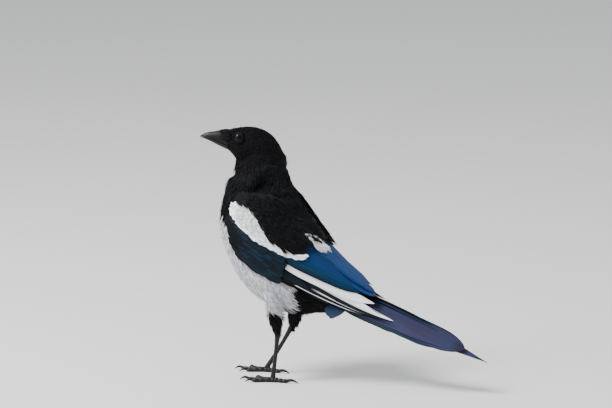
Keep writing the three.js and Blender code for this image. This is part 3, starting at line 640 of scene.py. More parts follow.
def glossVane(name, stops, roughness=0.5, gloss=0.08):
    # Iridescent flight feathers: thin keratin layers give a metallic blue or green. marks.y picks the hue,
    # marks.x is the share of white web, marks.z each feather's own shade.
    material, tree, shader = newMaterial(name)
    own = markParts(tree)
    lines = barbLines(tree, 0.9, 0.8)
    hue = ramp(tree, own.outputs[1], stops)
    darker = addNode(tree, "ShaderNodeMapRange", {"Value": lines.outputs[0]}, To_Min=0.72, To_Max=1.1)
    perFeather = addNode(tree, "ShaderNodeMapRange", {"Value": own.outputs[2]}, To_Min=0.75, To_Max=1.15)
    shades = {0: darker.outputs[0], 1: perFeather.outputs[0]}
    both = addNode(tree, "ShaderNodeMath", shades, operation="MULTIPLY")
    shaded = {0: hue.outputs[0], "Scale": both.outputs[0]}
    scaled = addNode(tree, "ShaderNodeVectorMath", shaded, operation="SCALE")
    white = ramp(tree, lines.outputs[0], [(0.0, "#dcdce2"), (1.0, "#f6f6f8")])
    colour = mixColour(tree, own.outputs[0], scaled.outputs[0], white.outputs[0])
    tree.links.new(colour, shader.inputs["Base Color"])
    addRelief(tree, shader, lines, 0.2, 0.0002)
    setShader(shader, Roughness=roughness, Specular_IOR_Level=gloss)
    return material


blackFeather = plumage("blackContourFeather", "#020203", "#07070b", 0.75, bump=0.03)
mantleFeather = plumage(
    "blackMantleFeather", "#030304", "#0a0a0f", 0.65, bump=0.05, sheen=0.025, sheenTint="#8a8fb8"
)
# The grey-lilac dark end of the white feathers' ramp also shows the painted shade on the lower rear body
whiteFeather = plumage("whiteContourFeather", "#b4b3c0", "#f4f4f6", 0.9, bump=0.1)
scapularWhite = plumage("whiteScapularFeather", "#ececf1", "#fdfdfd", 0.85, bump=0.15)
wingGloss = glossVane(
    "iridescentWingVane",
    [
        (0.0, "#040405"), (0.2, "#0b0e13"), (0.4, "#10222f"), (0.55, "#0f3552"),
        (0.75, "#133765"), (0.9, "#1f3a6b"), (1.0, "#294a80"),
    ],
)
tailGloss = glossVane(
    "iridescentTailVane",
    [
        (0.0, "#0a0a0d"), (0.25, "#131b22"), (0.5, "#1e3539"), (0.66, "#1c2d45"),
        (0.8, "#32314b"), (0.92, "#2f3553"), (1.0, "#232637"),
    ],
    roughness=0.55,
)


def skinMaterial():
    # Skin and down under the coat, in the coat's own colours so that no gap shows.
    material, tree, shader = newMaterial("downUnderPlumage")
    own = markParts(tree)
    shade = ramp(tree, own.outputs[0], [(0.3, "#060608"), (0.7, "#b9b9c2")])
    tree.links.new(shade.outputs[0], shader.inputs["Base Color"])
    setShader(shader, Roughness=0.9, Specular_IOR_Level=0.1)
    return material


horn = {"grainsPerMm": 0.32}
plates = {"perMm": 0.9}


def hornMaterial(name, dark, light, roughness):
    # Horn: dense keratin, evenly glossy, with a faint noise grain in its colour and surface.
    material, tree, shader = newMaterial(name)
    grain = texture(tree, "ShaderNodeTexNoise", horn["grainsPerMm"], Detail=4.0)
    shade = ramp(tree, grain.outputs[0], [(0.3, dark), (0.75, light)])
    tree.links.new(shade.outputs[0], shader.inputs["Base Color"])
    addRelief(tree, shader, grain, 0.12, 0.0002)
    setShader(shader, Roughness=roughness, Specular_IOR_Level=0.22)
    return material


def scaleMaterial():
    # Leg scales: hard, smooth keratin plates over the tarsus and toes.
    material, tree, shader = newMaterial("legScaleKeratin")
    cells = texture(tree, "ShaderNodeTexVoronoi", plates["perMm"], feature="DISTANCE_TO_EDGE")
    shade = ramp(tree, cells.outputs[0], [(0.0, "#050506"), (0.25, "#121215")])
    tree.links.new(shade.outputs[0], shader.inputs["Base Color"])
    addRelief(tree, shader, cells, 0.35, 0.0003)
    setShader(shader, Roughness=0.45, Specular_IOR_Level=0.3)
    return material


billHorn = hornMaterial("billHorn", "#050506", "#0e0e11", 0.4)
clawHorn = hornMaterial("clawHorn", "#070708", "#141417", 0.35)
legScale = scaleMaterial()


# Body feathers

tracts = {  # millimetres between roots, for the length and the half width; fan in radians
    "face": {"spacing": 1.6, "length": 6.0, "half": 0.36, "locks": 4, "rise": 0.09, "fan": 0.18},
    "neck": {"spacing": 2.1, "length": 9.5, "half": 0.44, "locks": 5, "rise": 0.12, "fan": 0.18},
    "mantle": {"spacing": 2.7, "length": 13, "half": 0.6, "locks": 5, "rise": 0.14, "fan": 0.2},
    "breast": {"spacing": 2.4, "length": 10.5, "half": 0.44, "locks": 5, "rise": 0.14, "fan": 0.2},
    "belly": {"spacing": 2.5, "length": 12, "half": 0.42, "locks": 6, "rise": 0.13, "fan": 0.18},
    "shank": {"spacing": 2.1, "length": 8.5, "half": 0.5, "locks": 4, "rise": 0.2, "fan": 0.22},
    "scapular": {"spacing": 3.0, "length": 14, "half": 0.55, "locks": 6, "rise": 0.1, "fan": 0.2},
    "plume": {"spacing": 2.6, "length": 11, "half": 0.5, "locks": 5, "rise": 0.1, "fan": 0.16},
}
tractNames = list(tracts)
tractTable = {key: np.array([tracts[name][key] for name in tractNames]) for key in tracts["face"]}

rootCell = 2.0  # side of the cells that sort the roots, in millimetres


def standsClear(p, i, key, near, cells):
    # Whether root i is at least this far from every root that is already kept.
    span = int(math.ceil(near / rootCell))
    for dx, dy, dz in itertools.product(range(-span, span + 1), repeat=3):
        for j in cells.get((key[0] + dx, key[1] + dy, key[2] + dz), ()):
            gap = p[i] - p[j]
            if abs(gap[0]) < near and np.dot(gap, gap) < near * near:
                return False
    return True


def skinSamples(skin, spacingOf):
    # Evenly scattered points on the skin, with their outward directions.
    mesh = skin.data
    mesh.calc_loop_triangles()
    co = np.empty(len(mesh.vertices) * 3)
    mesh.vertices.foreach_get("co", co)
    co = co.reshape(-1, 3) / mm - shift
    tri = np.empty(len(mesh.loop_triangles) * 3, dtype=np.int32)
    mesh.loop_triangles.foreach_get("vertices", tri)
    corners = co[tri.reshape(-1, 3)]
    normal = np.cross(corners[:, 1] - corners[:, 0], corners[:, 2] - corners[:, 0])
    area = np.linalg.norm(normal, axis=1) / 2
    middle = corners.mean(1)
    spacing = spacingOf(middle)
    want = area / spacing ** 2 * 3.5
    count = rng.poisson(want)
    pick = np.repeat(np.arange(len(area)), count)
    r1, r2 = np.sqrt(rng.random(len(pick))), rng.random(len(pick))
    c = corners[pick]
    p = c[:, 0] * (1 - r1)[:, None] + c[:, 1] * (r1 * (1 - r2))[:, None] + c[:, 2] * (r1 * r2)[:, None]
    vertexNormal = np.empty(len(mesh.vertices) * 3)
    mesh.vertices.foreach_get("normal", vertexNormal)
    vn = vertexNormal.reshape(-1, 3)[tri.reshape(-1, 3)[pick]]
    nrm = unit(vn.mean(1))
    near = spacing[pick] * 0.78
    order = rng.permutation(len(p))
    kept, cells = [], {}
    keys = np.floor(p / rootCell).astype(int)
    for i in order:
        key = tuple(keys[i])
        if standsClear(p, i, key, near[i], cells):
            kept.append(i)
            cells.setdefault(key, []).append(i)
    kept = np.array(kept)
    return p[kept], nrm[kept]


def headShare(p):
    # 1 on the head, 0 on the body.
    q = toHead(p)
    return smooth(p[..., 2] + 0.25 * q[..., 0], 196, 206)


def shankShare(p):
    return smooth(-p[..., 2], -66, -60)


def lieOf(p, n):
    # Which way the feathers lie: from the bill back over the body, and down the legs.
    stations = np.asarray(trunk["stations"])
    line = stations[:, :2]
    d = np.linalg.norm(p[:, None, 1:] - line[None], axis=-1)
    near = np.clip(np.argmin(d, 1), 1, len(line) - 2)
    along = unit(line[near + 1] - line[near - 1])
    body = np.stack([np.zeros(len(p)), along[:, 0], along[:, 1]], 1)
    fromHead = -ahead[None] + upward[None] * -0.25
    back = mix(body, np.broadcast_to(fromHead, body.shape), headShare(p)[:, None])
    down = np.broadcast_to(vec(0, 0.12, -1), body.shape)
    flow = mix(back, down, shankShare(p)[:, None])
    swirl = waves(p, 14)[:, None] * 0.12
    flow = unit(flow - n * np.sum(flow * n, 1, keepdims=True))
    return unit(flow + np.cross(n, flow) * swirl)


def tractOf(p):
    # Index of each root's tract, in the order of the tracts.
    q = toHead(p)
    out = np.full(len(p), tractNames.index("breast"))
    u, turn, _ = wingPlace(p)
    out[(turn > 0.55) & (p[:, 2] < 182) & (u > -16)] = tractNames.index("mantle")
    out[(p[:, 2] < 150) & (turn < 0.4)] = tractNames.index("belly")
    out[p[:, 2] > 176] = tractNames.index("neck")
    out[(headShare(p) > 0.5) & (q[:, 2] > -16)] = tractNames.index("face")
    out[shankShare(p) > 0.5] = tractNames.index("shank")
    return out


def bodyFeathers(skin):
    thin = 1.0
    p, n = skinSamples(skin, lambda q: tractTable["spacing"][tractOf(q)] * thin)
    q = toHead(p)
    clearOfEyes = np.ones(len(p), bool)
    for side in sides.values():
        d = q - vec(eye["ahead"], side * eye["out"], eye["up"])
        clearOfEyes &= ~((np.hypot(d[:, 0], d[:, 2]) < 4.5) & (q[:, 1] * side > 0))
    onBill = (q[:, 0] > 25.0) & (q[:, 2] > -12)
    hidden = underWing(p, 4.0)
    tailEnd = p[:, 1] > 66
    keep = clearOfEyes & ~onBill & ~hidden & ~tailEnd
    p, n, q = p[keep], n[keep], q[keep]
    tract = tractOf(p)
    white = whiteness(p + rng.normal(0, 1.2, p.shape)) > 0.5
    lie = lieOf(p, n)
    tractOfPiece = {
        "headPlumage": "face",
        "neckPlumage": "neck",
        "backPlumage": "mantle",
        "breastPlumage": "breast",
        "bellyPlumage": "belly",
        "shankPlumage": "shank",
    }
    pieces = []
    for name, its in tractOfPiece.items():
        chosen = tract == tractNames.index(its)
        dark = mantleFeather if its in ("neck", "mantle") else blackFeather
        own = (values[chosen] for values in (p, n, lie, tract, white))
        pieces.append(tufts(name, *own, dark, whiteFeather))
    return pieces


def tufts(name, p, n, lie, tract, white, dark, light):
    count = tractTable["locks"][tract]
    pick = np.repeat(np.arange(len(p)), count)
    k = np.concatenate([np.arange(c) for c in count])
    total = count[pick]
    spread = (k + 0.5) / total * 2 - 1
    length = tractTable["length"][tract[pick]] * (0.8 + 0.35 * rng.random(len(p)))[pick]
    length = length * (1 - 0.22 * np.abs(spread)) * rng.uniform(0.85, 1.1, len(pick))
    root, out, go = p[pick], n[pick], lie[pick]
    side = np.cross(go, out)
    rise = tractTable["rise"][tract[pick]] * rng.uniform(0.6, 1.35, len(pick))
    fan = tractTable["fan"][tract[pick]] * spread + rng.normal(0, 0.05, len(pick))
    width = tractTable["spacing"][tract[pick]] * 0.42 * spread
    start = root + side * (width * 0.5)[:, None] - out * 0.5

    def point(share, lift):
        reach = length * share
        forward = start + go * (reach * np.cos(fan))[:, None]
        return forward + side * (reach * np.sin(fan))[:, None] + out * (length * lift)[:, None]

    bend = rng.uniform(-0.02, 0.06, len(pick))
    axis = np.stack([
        start,
        point(0.34, rise * 0.62),
        point(0.68, rise * 0.95 + bend),
        point(1.0, rise * 0.85 + bend * 0.4),
    ], 1)
    # Painted shade: white feathers are painted greyer towards the rear and bottom of the body, where shade
    # falls, and brighter towards the front
    shaded = smooth(p[:, 1] - 0.5 * (p[:, 2] - 80), -12, 30) * white
    shade = (rng.random(len(p)) * (1 - 0.5 * shaded) + 0.35 * white * (1 - shaded))[pick]
    lays = {
        "axis": axis,
        "out": np.stack([out, out], 1),
        "half": tractTable["half"][tract[pick]] * rng.uniform(0.8, 1.25, len(pick)),
        "thick": 0.28 * tractTable["half"][tract[pick]],
        "quill": 0.75,
        "tipFrom": 0.3,
        "ragged": 0.0,
        "seed": rng.random(len(pick)) * 9,
        "material": white[pick].astype(int),
        "unwrap": unwrapOf(p)[pick],
        "marks": plainMarks(np.stack([white[pick] * 1.0, shade, shade], 1)),
    }
    return layFeathers(name, lockTemplate(3), lays, [dark, light])


def unwrapOf(p):
    # Turn round the spine and length along it, as a place on the flat skin.
    stations = np.asarray(trunk["stations"])
    line = stations[:, :2]
    seg = np.diff(line, axis=0)
    rel = p[:, None, 1:] - line[None, :-1]
    share = np.clip((rel * seg).sum(-1) / (seg ** 2).sum(-1), 0, 1)
    foot = line[None, :-1] + seg * share[..., None]
    d = np.linalg.norm(p[:, None, 1:] - foot, axis=-1)
    i = np.argmin(d, 1)
    rows = np.arange(len(p))
    along = (i + share[rows, i]) / len(seg)
    tangent = unit(seg[i])
    off = p[:, 1:] - foot[rows, i]
    lift = off[:, 0] * -tangent[:, 1] + off[:, 1] * tangent[:, 0]
    turn = np.arctan2(p[:, 0], lift)
    return np.stack([0.02 + 0.96 * (turn / (2 * math.pi) + 0.5), 0.02 + 0.96 * along], 1)


# Wing feathers

def wingLay(side, path, low, high, tilt):
    # Axis and outward directions of feathers on the folded wing, each along four (u, v) points.
    u, v = path[..., 0], path[..., 1]
    turn = turnAt(u, v)
    h = mix(low[:, None], high[:, None], thirds)
    h[:, 0] = np.minimum(h[:, 0], low - 0.8)
    axis = onWing(side, u, turn, h)
    out = wingOut(side, u, turn)
    go = unit(axis[:, 3] - axis[:, 0])[:, None]
    lean = -side * tilt[:, None, None]
    turned = out * np.cos(lean) + np.cross(go, out) * np.sin(lean)
    wide, tall, _ = barrelSizes(u[:, 2])
    at = turn[:, 2]
    radius = ((wide * np.sin(at)) ** 2 + (tall * np.cos(at)) ** 2) ** 1.5 / (wide * tall)
    return axis, turned, 0.5 / radius


# From the lowest feather on the flank to the last near the back, each along four (u, v) points
wingTiers = [
    {
        "name": "primaries", "count": 5,
        "first": [(32, -23.5), (76, -21.0), (122, -20.8), (172, -6.5)],
        "last": [(50, -10.0), (97, -9.6), (138, -9.6), (180, -2.8)],
        "low": (-3.4, -2.5), "high": (-3.4, -2.3), "half": (5.0, 5.0), "tilt": (12, 10), "hue": (0.02, 0.24),
        "skew": 0.42, "white": (0, 1, 0, 1, 0), "tip": (0.7, 1.6, 0.7), "webEdge": 0.34,
        "whiteFrom": (0.1, 0.12, 0.1, 0.4, 0.1),
    },
    {
        "name": "stripedPrimary", "count": 1,
        "first": [(46, -6.2), (94, -6.7), (139, -7.6), (181.5, -0.5)],
        "last": [(46, -6.2), (94, -6.7), (139, -7.6), (181.5, -0.5)],
        "low": (-2.0, -2.0), "high": (-1.7, -1.7), "half": (5.6, 5.6), "tilt": (8, 8), "hue": (0.22, 0.22),
        "skew": 0.72, "white": (1,), "tip": (0.5, 1.3, 0.85),
    },
    {
        "name": "whiteInnerPrimary", "count": 1,
        "first": [(46, -3.6), (88, -2.4), (126, -0.2), (157.5, 4.4)],
        "last": [(46, -3.6), (88, -2.4), (126, -0.2), (157.5, 4.4)],
        "low": (-1.2, -1.2), "high": (-1.0, -1.0), "half": (4.8, 4.8), "tilt": (6, 6), "hue": (0.2, 0.2),
        "skew": 0.0, "white": (2,), "tip": (0.72, 1.4, 0.8),
    },
    {
        "name": "secondaries", "count": 8,
        "first": [(50, 0.4), (84, 3.4), (114, 4.4), (144, 7.6)],
        "last": [(60, 12), (90, 12.5), (120, 10.5), (150, 9.5)],
        "low": (-0.5, 0.5), "high": (-0.3, 1.2), "half": (6.0, 7.5), "tilt": (13, 12), "hue": (0.52, 0.72),
        "skew": 0.15, "white": (0,), "tip": (0.72, 2.0, 0.6), "rightShorter": 12,
    },
    {
        "name": "tertials", "count": 4,
        "first": [(66, 18), (96, 17.5), (126, 12.5), (153, 8.2)],
        "last": [(72, 34), (96, 23.5), (120, 17.5), (143, 12.5)],
        "low": (1.0, 1.8), "high": (1.6, 2.8), "half": (9.5, 11.5), "tilt": (8, 6), "hue": (0.8, 0.94),
        "skew": 0.05, "white": (0,), "tip": (0.72, 2.0, 0.5), "rightShorter": 12,
    },
    {
        "name": "primaryCoverts", "count": 7,
        "first": [(14, -11), (30, -17), (50, -19.8), (72, -21.5)],
        "last": [(24, -11), (48, -12), (74, -12.5), (98, -12.5)],
        "low": (-1.7, -0.9), "high": (-1.3, -0.4), "half": (4.2, 4.2), "tilt": (12, 12), "hue": (0.12, 0.26),
        "skew": 0.15, "white": (0,), "tip": (0.7, 2.0, 0.6),
    },
    {
        "name": "greaterCoverts", "count": 12,
        "first": [(14, -9), (28, -13), (43, -15.5), (58, -16.5)],
        "last": [(42, 10), (52, 9.5), (62, 9), (73, 9)],
        "low": (0.1, 0.9), "high": (0.4, 1.3), "half": (4.0, 4.8), "tilt": (12, 12), "hue": (0.24, 0.46),
        "skew": 0.1, "white": (0,), "tip": (0.7, 2.0, 0.6),
    },
]


def tierLays(side, tier):
    n = tier["count"]
    s = np.linspace(0, 1, n) if n > 1 else np.zeros(1)
    path = mix(np.array(tier["first"], float)[None], np.array(tier["last"], float)[None], s[:, None, None])
    path[:, 3, 0] += rng.normal(0, 0.8, n) * (n > 1)
    if side < 0:
        path[..., 0] -= np.linspace(0, tier.get("rightShorter", 0), 4)
    low, high, half, hue = (mix(*tier[key], s) for key in ("low", "high", "half", "hue"))
    axis, out, camber = wingLay(side, path, low, high, np.radians(mix(*tier["tilt"], s)))
    return {
        "axis": axis, "out": out, "camber": camber, "half": half, "skew": np.full(n, -side * tier["skew"]),
        "webEdge": np.full(n, tier.get("webEdge", 0.0)),
        "whiteFrom": np.resize(np.array(tier.get("whiteFrom", 0.1), float), n),
        "hue": hue, "white": np.resize(np.array(tier["white"], float), n),
        **{key: np.full(n, value) for key, value in zip(tipKeys, tier["tip"])},
        "seed": rng.random(n) * 9, "shade": rng.random(n),
    }


def joinLays(parts):
    return {key: np.concatenate([part[key] for part in parts]) for key in parts[0]}


def flightFeathers(name, side):
    lays = joinLays([tierLays(side, tier) for tier in wingTiers])

    def marksOf(a, t, wide):
        b = a * side  # 1 at the lower, outer web and -1 at the upper, inner one
        webs = lays["white"][:, None]
        inner = smooth(lays["webEdge"][:, None] - b, -0.03, 0.03)
        rim = 1 - smooth(t, 0.985, 1.0)
        start = lays["whiteFrom"][:, None]
        white = np.where(webs > 1.5, 1.0, inner * np.minimum(webs, 1)) * rim * smooth(t, start, start + 0.1)
        edge = (webs < 0.5) * (0.2 * smooth(-b, 0.35, 1.0) + 0.2 * smooth(b, 0.76, 0.88))
        hue = np.clip(lays["hue"][:, None] + 0.06 * t - edge, 0, 1)
        shade = np.broadcast_to(lays["shade"][:, None], white.shape)
        return np.stack([white, hue, shade], -1)

    lays["marks"] = marksOf
    lays.update(thick=0.2, ridge=0.3, quill=0.35, ragged=0.03)
    return layFeathers(name, vaneTemplate(12, 30), lays, [wingGloss])


def covertLattice(side, band, drop):
    # A lattice of small feathers on the wing: rows along it, columns across, staggered like roof tiles.
    r, c = np.meshgrid(np.arange(band["rows"]), np.arange(band["cols"]), indexing="ij")
    r, c = r.ravel(), c.ravel()
    s = (r + rng.uniform(-0.15, 0.15, r.size)) / (band["rows"] - 1)
    w = (c + 0.5 * (r % 2) + rng.uniform(-0.15, 0.15, r.size)) / band["cols"]
    u = mix(*band["u"], s)
    low, high = bandEdges(band, u)
    v = mix(low, high, w)
    size = mix(*band["length"], s) * rng.uniform(0.88, 1.1, r.size)
    root = np.stack([u, v], 1)
    tip = root + np.stack([size, size * drop(u, w)], 1)
    path = mix(root[:, None], tip[:, None], thirds[None, :, None])
    lower = 2.4 * smooth(turnAt(u, v), math.radians(45), math.radians(75))
    h = mix(*band["height"], s) + rng.normal(0, 0.12, r.size) - lower
    tilt = np.radians(rng.uniform(4, 12, r.size))
    axis, out, camber = wingLay(side, path, h - 0.6, h + 0.5, tilt)
    return {
        "axis": axis, "out": out, "camber": camber, "half": band["half"] * rng.uniform(0.9, 1.1, r.size),
        "seed": rng.random(r.size) * 9, "shade": rng.random(r.size), "u": tip[:, 0], "v": tip[:, 1],
    }


def bandEdges(band, u):
    # The lower and upper edge of a band across the wing at some u.
    _, high, middle = barrelSizes(u)
    return [middle + high * np.sin(np.radians(np.interp(u, *zip(*band[key])))) for key in ("low", "high")]


# Bands of small feathers: edges as distance along the wing and turn in degrees, then the stretch along the
# wing, the lattice, and the feathers' length and height from first to last
whiteBand = {
    "low": [
        (-6, 17), (0, 13), (8, 11), (17, 10), (36, 9),
        (45, 11), (59, 13.5), (66, 17), (76, 24), (86, 31),
    ],
    "high": [
        (-6, 20), (0, 26), (14, 29), (19, 26), (27, 23), (34, 20.5),
        (42, 18.5), (60, 18.5), (69, 24), (76, 31), (86, 36),
    ],
    "u": (-3, 68), "rows": 15, "cols": 5, "length": (15, 16), "height": (1.8, 2.8), "half": 3.2,
}
lesserCoverts = {
    "low": [(-2, 5), (6, -3), (18, -12), (30, -16), (46, -17), (70, -15)],
    "high": [(-2, 14), (26, 10), (70, 8)],
    "u": (-1, 52), "rows": 10, "cols": 11, "length": (13, 21), "height": (0.8, 1.5), "half": 4.2,
}
blackScapulars = {
    "low": [(-4, 26), (14, 30), (30, 25), (60, 24), (80, 36)],
    "high": [(-4, 34), (15, 46), (30, 62), (45, 86), (80, 88)],
    "u": (2, 60), "rows": 11, "cols": 9, "length": (18, 22), "height": (1.6, 3.0), "half": 4.8,
}
whiteHem = [(8, 60), (12, 71), (19, 79), (30, 86)]  # where the near white plumes end: turn, u
farPatch = [(57, 88), (62, 92), (74, 94), (82, 95), (93, 96)]  # hem of the white scapulars on the back
mantleHem = {  # where the black mantle and scapulars end: turn in degrees, distance along the wing
    "left": [(16, 68), (25, 75), (34, 79), (42, 85), (50, 84), (58, 75), (74, 80), (92, 91)],
    "right": [(16, 70), (25, 75), (34, 79), (42, 85), (60, 86), (92, 93)],
}


def coverts(name, side):
    # Lesser and median coverts under the scapulars.
    lays = covertLattice(side, lesserCoverts, lambda u, w: -0.3 + 0.12 * w)
    # gap is a darker patch in the coverts' colour around u 27 and v -5
    gap = np.exp(-((lays["u"] - 27) / 7) ** 2 - ((lays["v"] + 5) / 6) ** 2)
    hue = mix(0.08, 0.27, smooth(lays["u"] + lays["v"], 8, 30)) + 0.1 * lays["shade"] - 0.18 * gap

    def marksOf(a, t, wide):
        rim = smooth(np.abs(a), 0.6, 1.0) * 0.12
        h = np.clip(hue[:, None] - rim + 0.06 * t, 0, 1)
        return np.stack([np.zeros_like(h), h, np.broadcast_to(lays["shade"][:, None], h.shape)], -1)

    lays["marks"] = marksOf
    lays.update(thick=0.15, ridge=0.1, quill=0.6, tipFrom=0.6, ragged=0.06)
    return layFeathers(name, vaneTemplate(6, 9), lays, [wingGloss])


def scapulars(name, side):
    # Vanes under the plumes: white scapulars in a ragged band, black ones over their upper edge.
    white = covertLattice(side, whiteBand, lambda u, w: mix(-0.26, 0.12, np.clip(u / 60, 0, 1)))
    black = covertLattice(side, blackScapulars, lambda u, w: mix(0.0, -0.2, w))
    pieces = []
    for kind, lays, material in (("White", white, scapularWhite), ("Black", black, mantleFeather)):
        lays["marks"] = shadeMarks(lays["shade"])
        lays.update(thick=0.15, ridge=0.0, quill=0.6, tipFrom=0.45, tipPower=0.6, ragged=0.16)
        pieces.append(layFeathers(name + kind, vaneTemplate(6, 9), lays, [material]))
    return pieces


def plumes(name, side):
    # Soft plumes over the scapulars and the mantle, white and black, with a ragged hem.
    rows = []
    for kind in ("plume", "scapular"):
        spacing = tracts[kind]["spacing"]
        for u in np.arange(-4, 88, spacing * 0.8):
            low, high = (np.interp(u, *zip(*whiteBand[key])) for key in ("low", "high"))
            wide = float(barrelSizes(np.float64(u))[1])
            if kind == "scapular":
                low, high = high, np.interp(u, (-4, 15, 30, 45), (34, 46, 62, 93))
            step = math.degrees(spacing / max(wide, 30))
            for turn in np.arange(low + rng.uniform(0, step), high, step):
                spot = u + rng.uniform(-1, 1), turn + rng.uniform(-0.4, 0.4) * step
                rows.append((tractNames.index(kind), *spot))
    patch = len(rows)
    if name == "left":
        for degrees in np.arange(59, 93, 2.2):
            hem = np.interp(degrees, *zip(*mantleHem[name]))
            for u in np.arange(hem - 11, np.interp(degrees, *zip(*farPatch)) - 8, 1.8):
                spot = u + rng.uniform(-0.8, 0.8), degrees + rng.uniform(-1.0, 1.0)
                rows.append((tractNames.index("plume"), *spot))
    tract, u, degrees = (np.array(c) for c in zip(*rows))
    black = tract == tractNames.index("scapular")
    length = tractTable["length"][tract.astype(int)]
    hem = np.where(black, *(np.interp(degrees, *zip(*edge)) for edge in (mantleHem[name], whiteHem)))
    keep = (u + length * 0.9 < hem + rng.normal(0, 2.0, len(u))) | (np.arange(len(u)) >= patch)
    tract, u, turn, black = tract[keep].astype(int), u[keep], np.radians(degrees[keep]), black[keep]
    away = smooth(np.degrees(turn) - np.interp(u, *zip(*whiteBand["high"])), 3, 16)
    overBand = mix(3.4, mix(0.8, 3.4, smooth(u, -4, 30)), away)
    h = np.where(black, overBand, np.where(np.degrees(turn) > 50, 3.8, 2.2))
    h = h - 2.6 * smooth(turn, math.radians(45), math.radians(75))
    place = onWing(side, u, turn, h)
    whiteSlope = np.interp(u, (-6, 30, 60, 76), (-0.26, -0.1, 0.02, 0.2))
    slope = np.where(black, -0.06, whiteSlope) * (np.degrees(turn) < 56)
    onward = onWing(side, u + 1, turn + slope / barrelSizes(u)[1], h)
    return tufts(
        "plumes" + name.capitalize(), place, wingOut(side, u, turn), unit(onward - place), tract, ~black,
        mantleFeather, scapularWhite,
    )


def squarer(x):
    # Pushes the points of a round form out towards a box.
    return np.sign(x) * np.abs(x) ** 0.7


def armPad(name, side):
    # The feathered arm under the coverts, so that no gap opens between them.
    def place(along, turn):
        polar = math.pi * along
        a, b, c = np.cos(turn) * np.sin(polar), np.sin(turn) * np.sin(polar), np.cos(polar)
        u = mix(-1, 84, (squarer(a) / 1.02 + 1) / 2)
        top = np.radians(mix(26, 62, smooth(u, 0, 72)))
        rise = mix(lowerEdge(u) + math.radians(10), top, (squarer(b) + 1) / 2)
        h = mix(-5, -1.2, (squarer(c) + 1) / 2)
        return np.array([onWing(side, *(np.float64(value) for value in spot)) for spot in zip(u, rise, h)])

    return pieceFrom(name, shapedSphere(place, 40, 24))


# Tail feathers

tail = {
    "at": vec(0, 45, 88),
    "slope": math.radians(18),
    "out": (5.5, 5.2),
    "up": (7.6, 4.6),
    "roll": (56, 48),
    "under": 0.9,
    "length": 184,
    "tips": {"longest": (0.5, 1.25, 0.95), "other": (0.74, 1.9, 0.6)},  # start, curve and power of the taper
    "root": 8,
    "bend": 26,
    "feathers": {  # length, half width, slide at root and tip, layers under, tip out, tip up, unroll
        "left": [
            (184, 11, 0, 1, 0, -3.5, -5, 34),
            (160, 11.5, 1.2, 1.2, 1, 0, 0, 0),
            (146, 11.5, 2.4, 3.4, 2, 0, 0, 0),
            (125, 10.5, 3.3, 4.2, 3, 0, 0, 0),
            (102, 9.5, 4, 5.5, 4, 0, 0, 0),
            (40, 11, 3, 17, 3, 2, 0, 0),
        ],
        "right": [
            (127, 10.5, 0, -2, -1.4, 0, 0, 10),
            (152, 11.5, 1.2, 1.2, 1, 0, -5, 0),
            (140, 11.5, 2.4, 3.4, 2, 0, -2, 0),
            (124, 10.5, 3.3, 4.2, 3, 0, 0, 0),
            (101, 9.5, 4, 5.5, 4, 0, 0, 0),
            (86, 8.5, 4.8, 6.5, 5, 0, 0, 0),
        ],
    },
}
tailAlong = vec(0, math.cos(tail["slope"]), -math.sin(tail["slope"]))
tailUp = vec(0, math.sin(tail["slope"]), math.cos(tail["slope"]))


def inTail(along, out, up):
    return tail["at"] + along * tailAlong + up * tailUp + out * vec(1, 0, 0)


def rectrix(side, length, half, slideRoot, slideTip, under, tipOut, tipUp, unroll):
    def lean(t):
        return math.radians(mix(*tail["roll"], t * length / tail["length"]) - unroll * t * t)

    def place(along):
        t = (along - tail["root"]) / (length - tail["root"])
        share = along / tail["length"]
        down = mix(slideRoot, slideTip, t)
        deep = under * tail["under"] * min(0.35 + t * 2, 1)
        out = mix(*tail["out"], share) + math.cos(lean(t)) * down - math.sin(lean(t)) * deep + tipOut * t * t
        up = mix(*tail["up"], share) - math.sin(lean(t)) * down - math.cos(lean(t)) * deep + tipUp * t * t
        return inTail(along, side * out * min(0.3 + t * 4, 1), up * min(0.4 + t * 3, 1))

    reach = [mix(tail["bend"], length, s) for s in (0, 1 / 3, 2 / 3, 1)]
    points = [place(along) for along in reach]
    turns = [lean((along - tail["root"]) / (length - tail["root"])) for along in reach]
    out = [tailUp * math.cos(turn) + vec(side * math.sin(turn), 0, 0) for turn in turns]
    return np.array(points), np.array(out)


def tailFeathers():
    rows = []
    for name, side in sides.items():
        for feather in tail["feathers"][name]:
            axis, out = rectrix(side, *feather)
            length, half = feather[:2]
            tip = tail["tips"]["longest" if length == tail["length"] else "other"]
            rows.append({
                "axis": axis[None], "out": out[None], "camber": np.array([0.004]),
                "half": np.array([half], float), "side": np.array([side]),
                "length": np.array([length], float),
                **{key: np.array([value]) for key, value in zip(tipKeys, tip)},
                "seed": rng.random(1) * 9, "shade": rng.random(1),
            })
    lays = joinLays(rows)

    def marksOf(a, t, wide):
        reach = t * lays["length"][:, None] / tail["length"]
        hue = 0.3 + 0.2 * smooth(reach, 0.1, 0.45) + 0.4 * smooth(reach, 0.45, 0.8)
        hue = hue + 0.12 * smooth(t, 0.85, 1.0)
        hue = hue - 0.16 * smooth(-a * lays["side"][:, None], 0.5, 1.0)
        hue = hue + 0.42 * (lays["length"][:, None] > 150) * (1 - smooth(reach, 0.3, 0.8))
        hue = np.where(lays["length"][:, None] < 60, 0.67, hue)
        hue = np.clip(hue, 0, 1)
        shade = np.broadcast_to(lays["shade"][:, None], hue.shape)
        return np.stack([np.zeros_like(hue), hue, shade], -1)

    lays["marks"] = marksOf
    lays.update(thick=0.2, ridge=0.45, quill=0.75, ragged=0.02)
    return layFeathers("tailFeathers", vaneTemplate(14, 44), lays, [tailGloss])


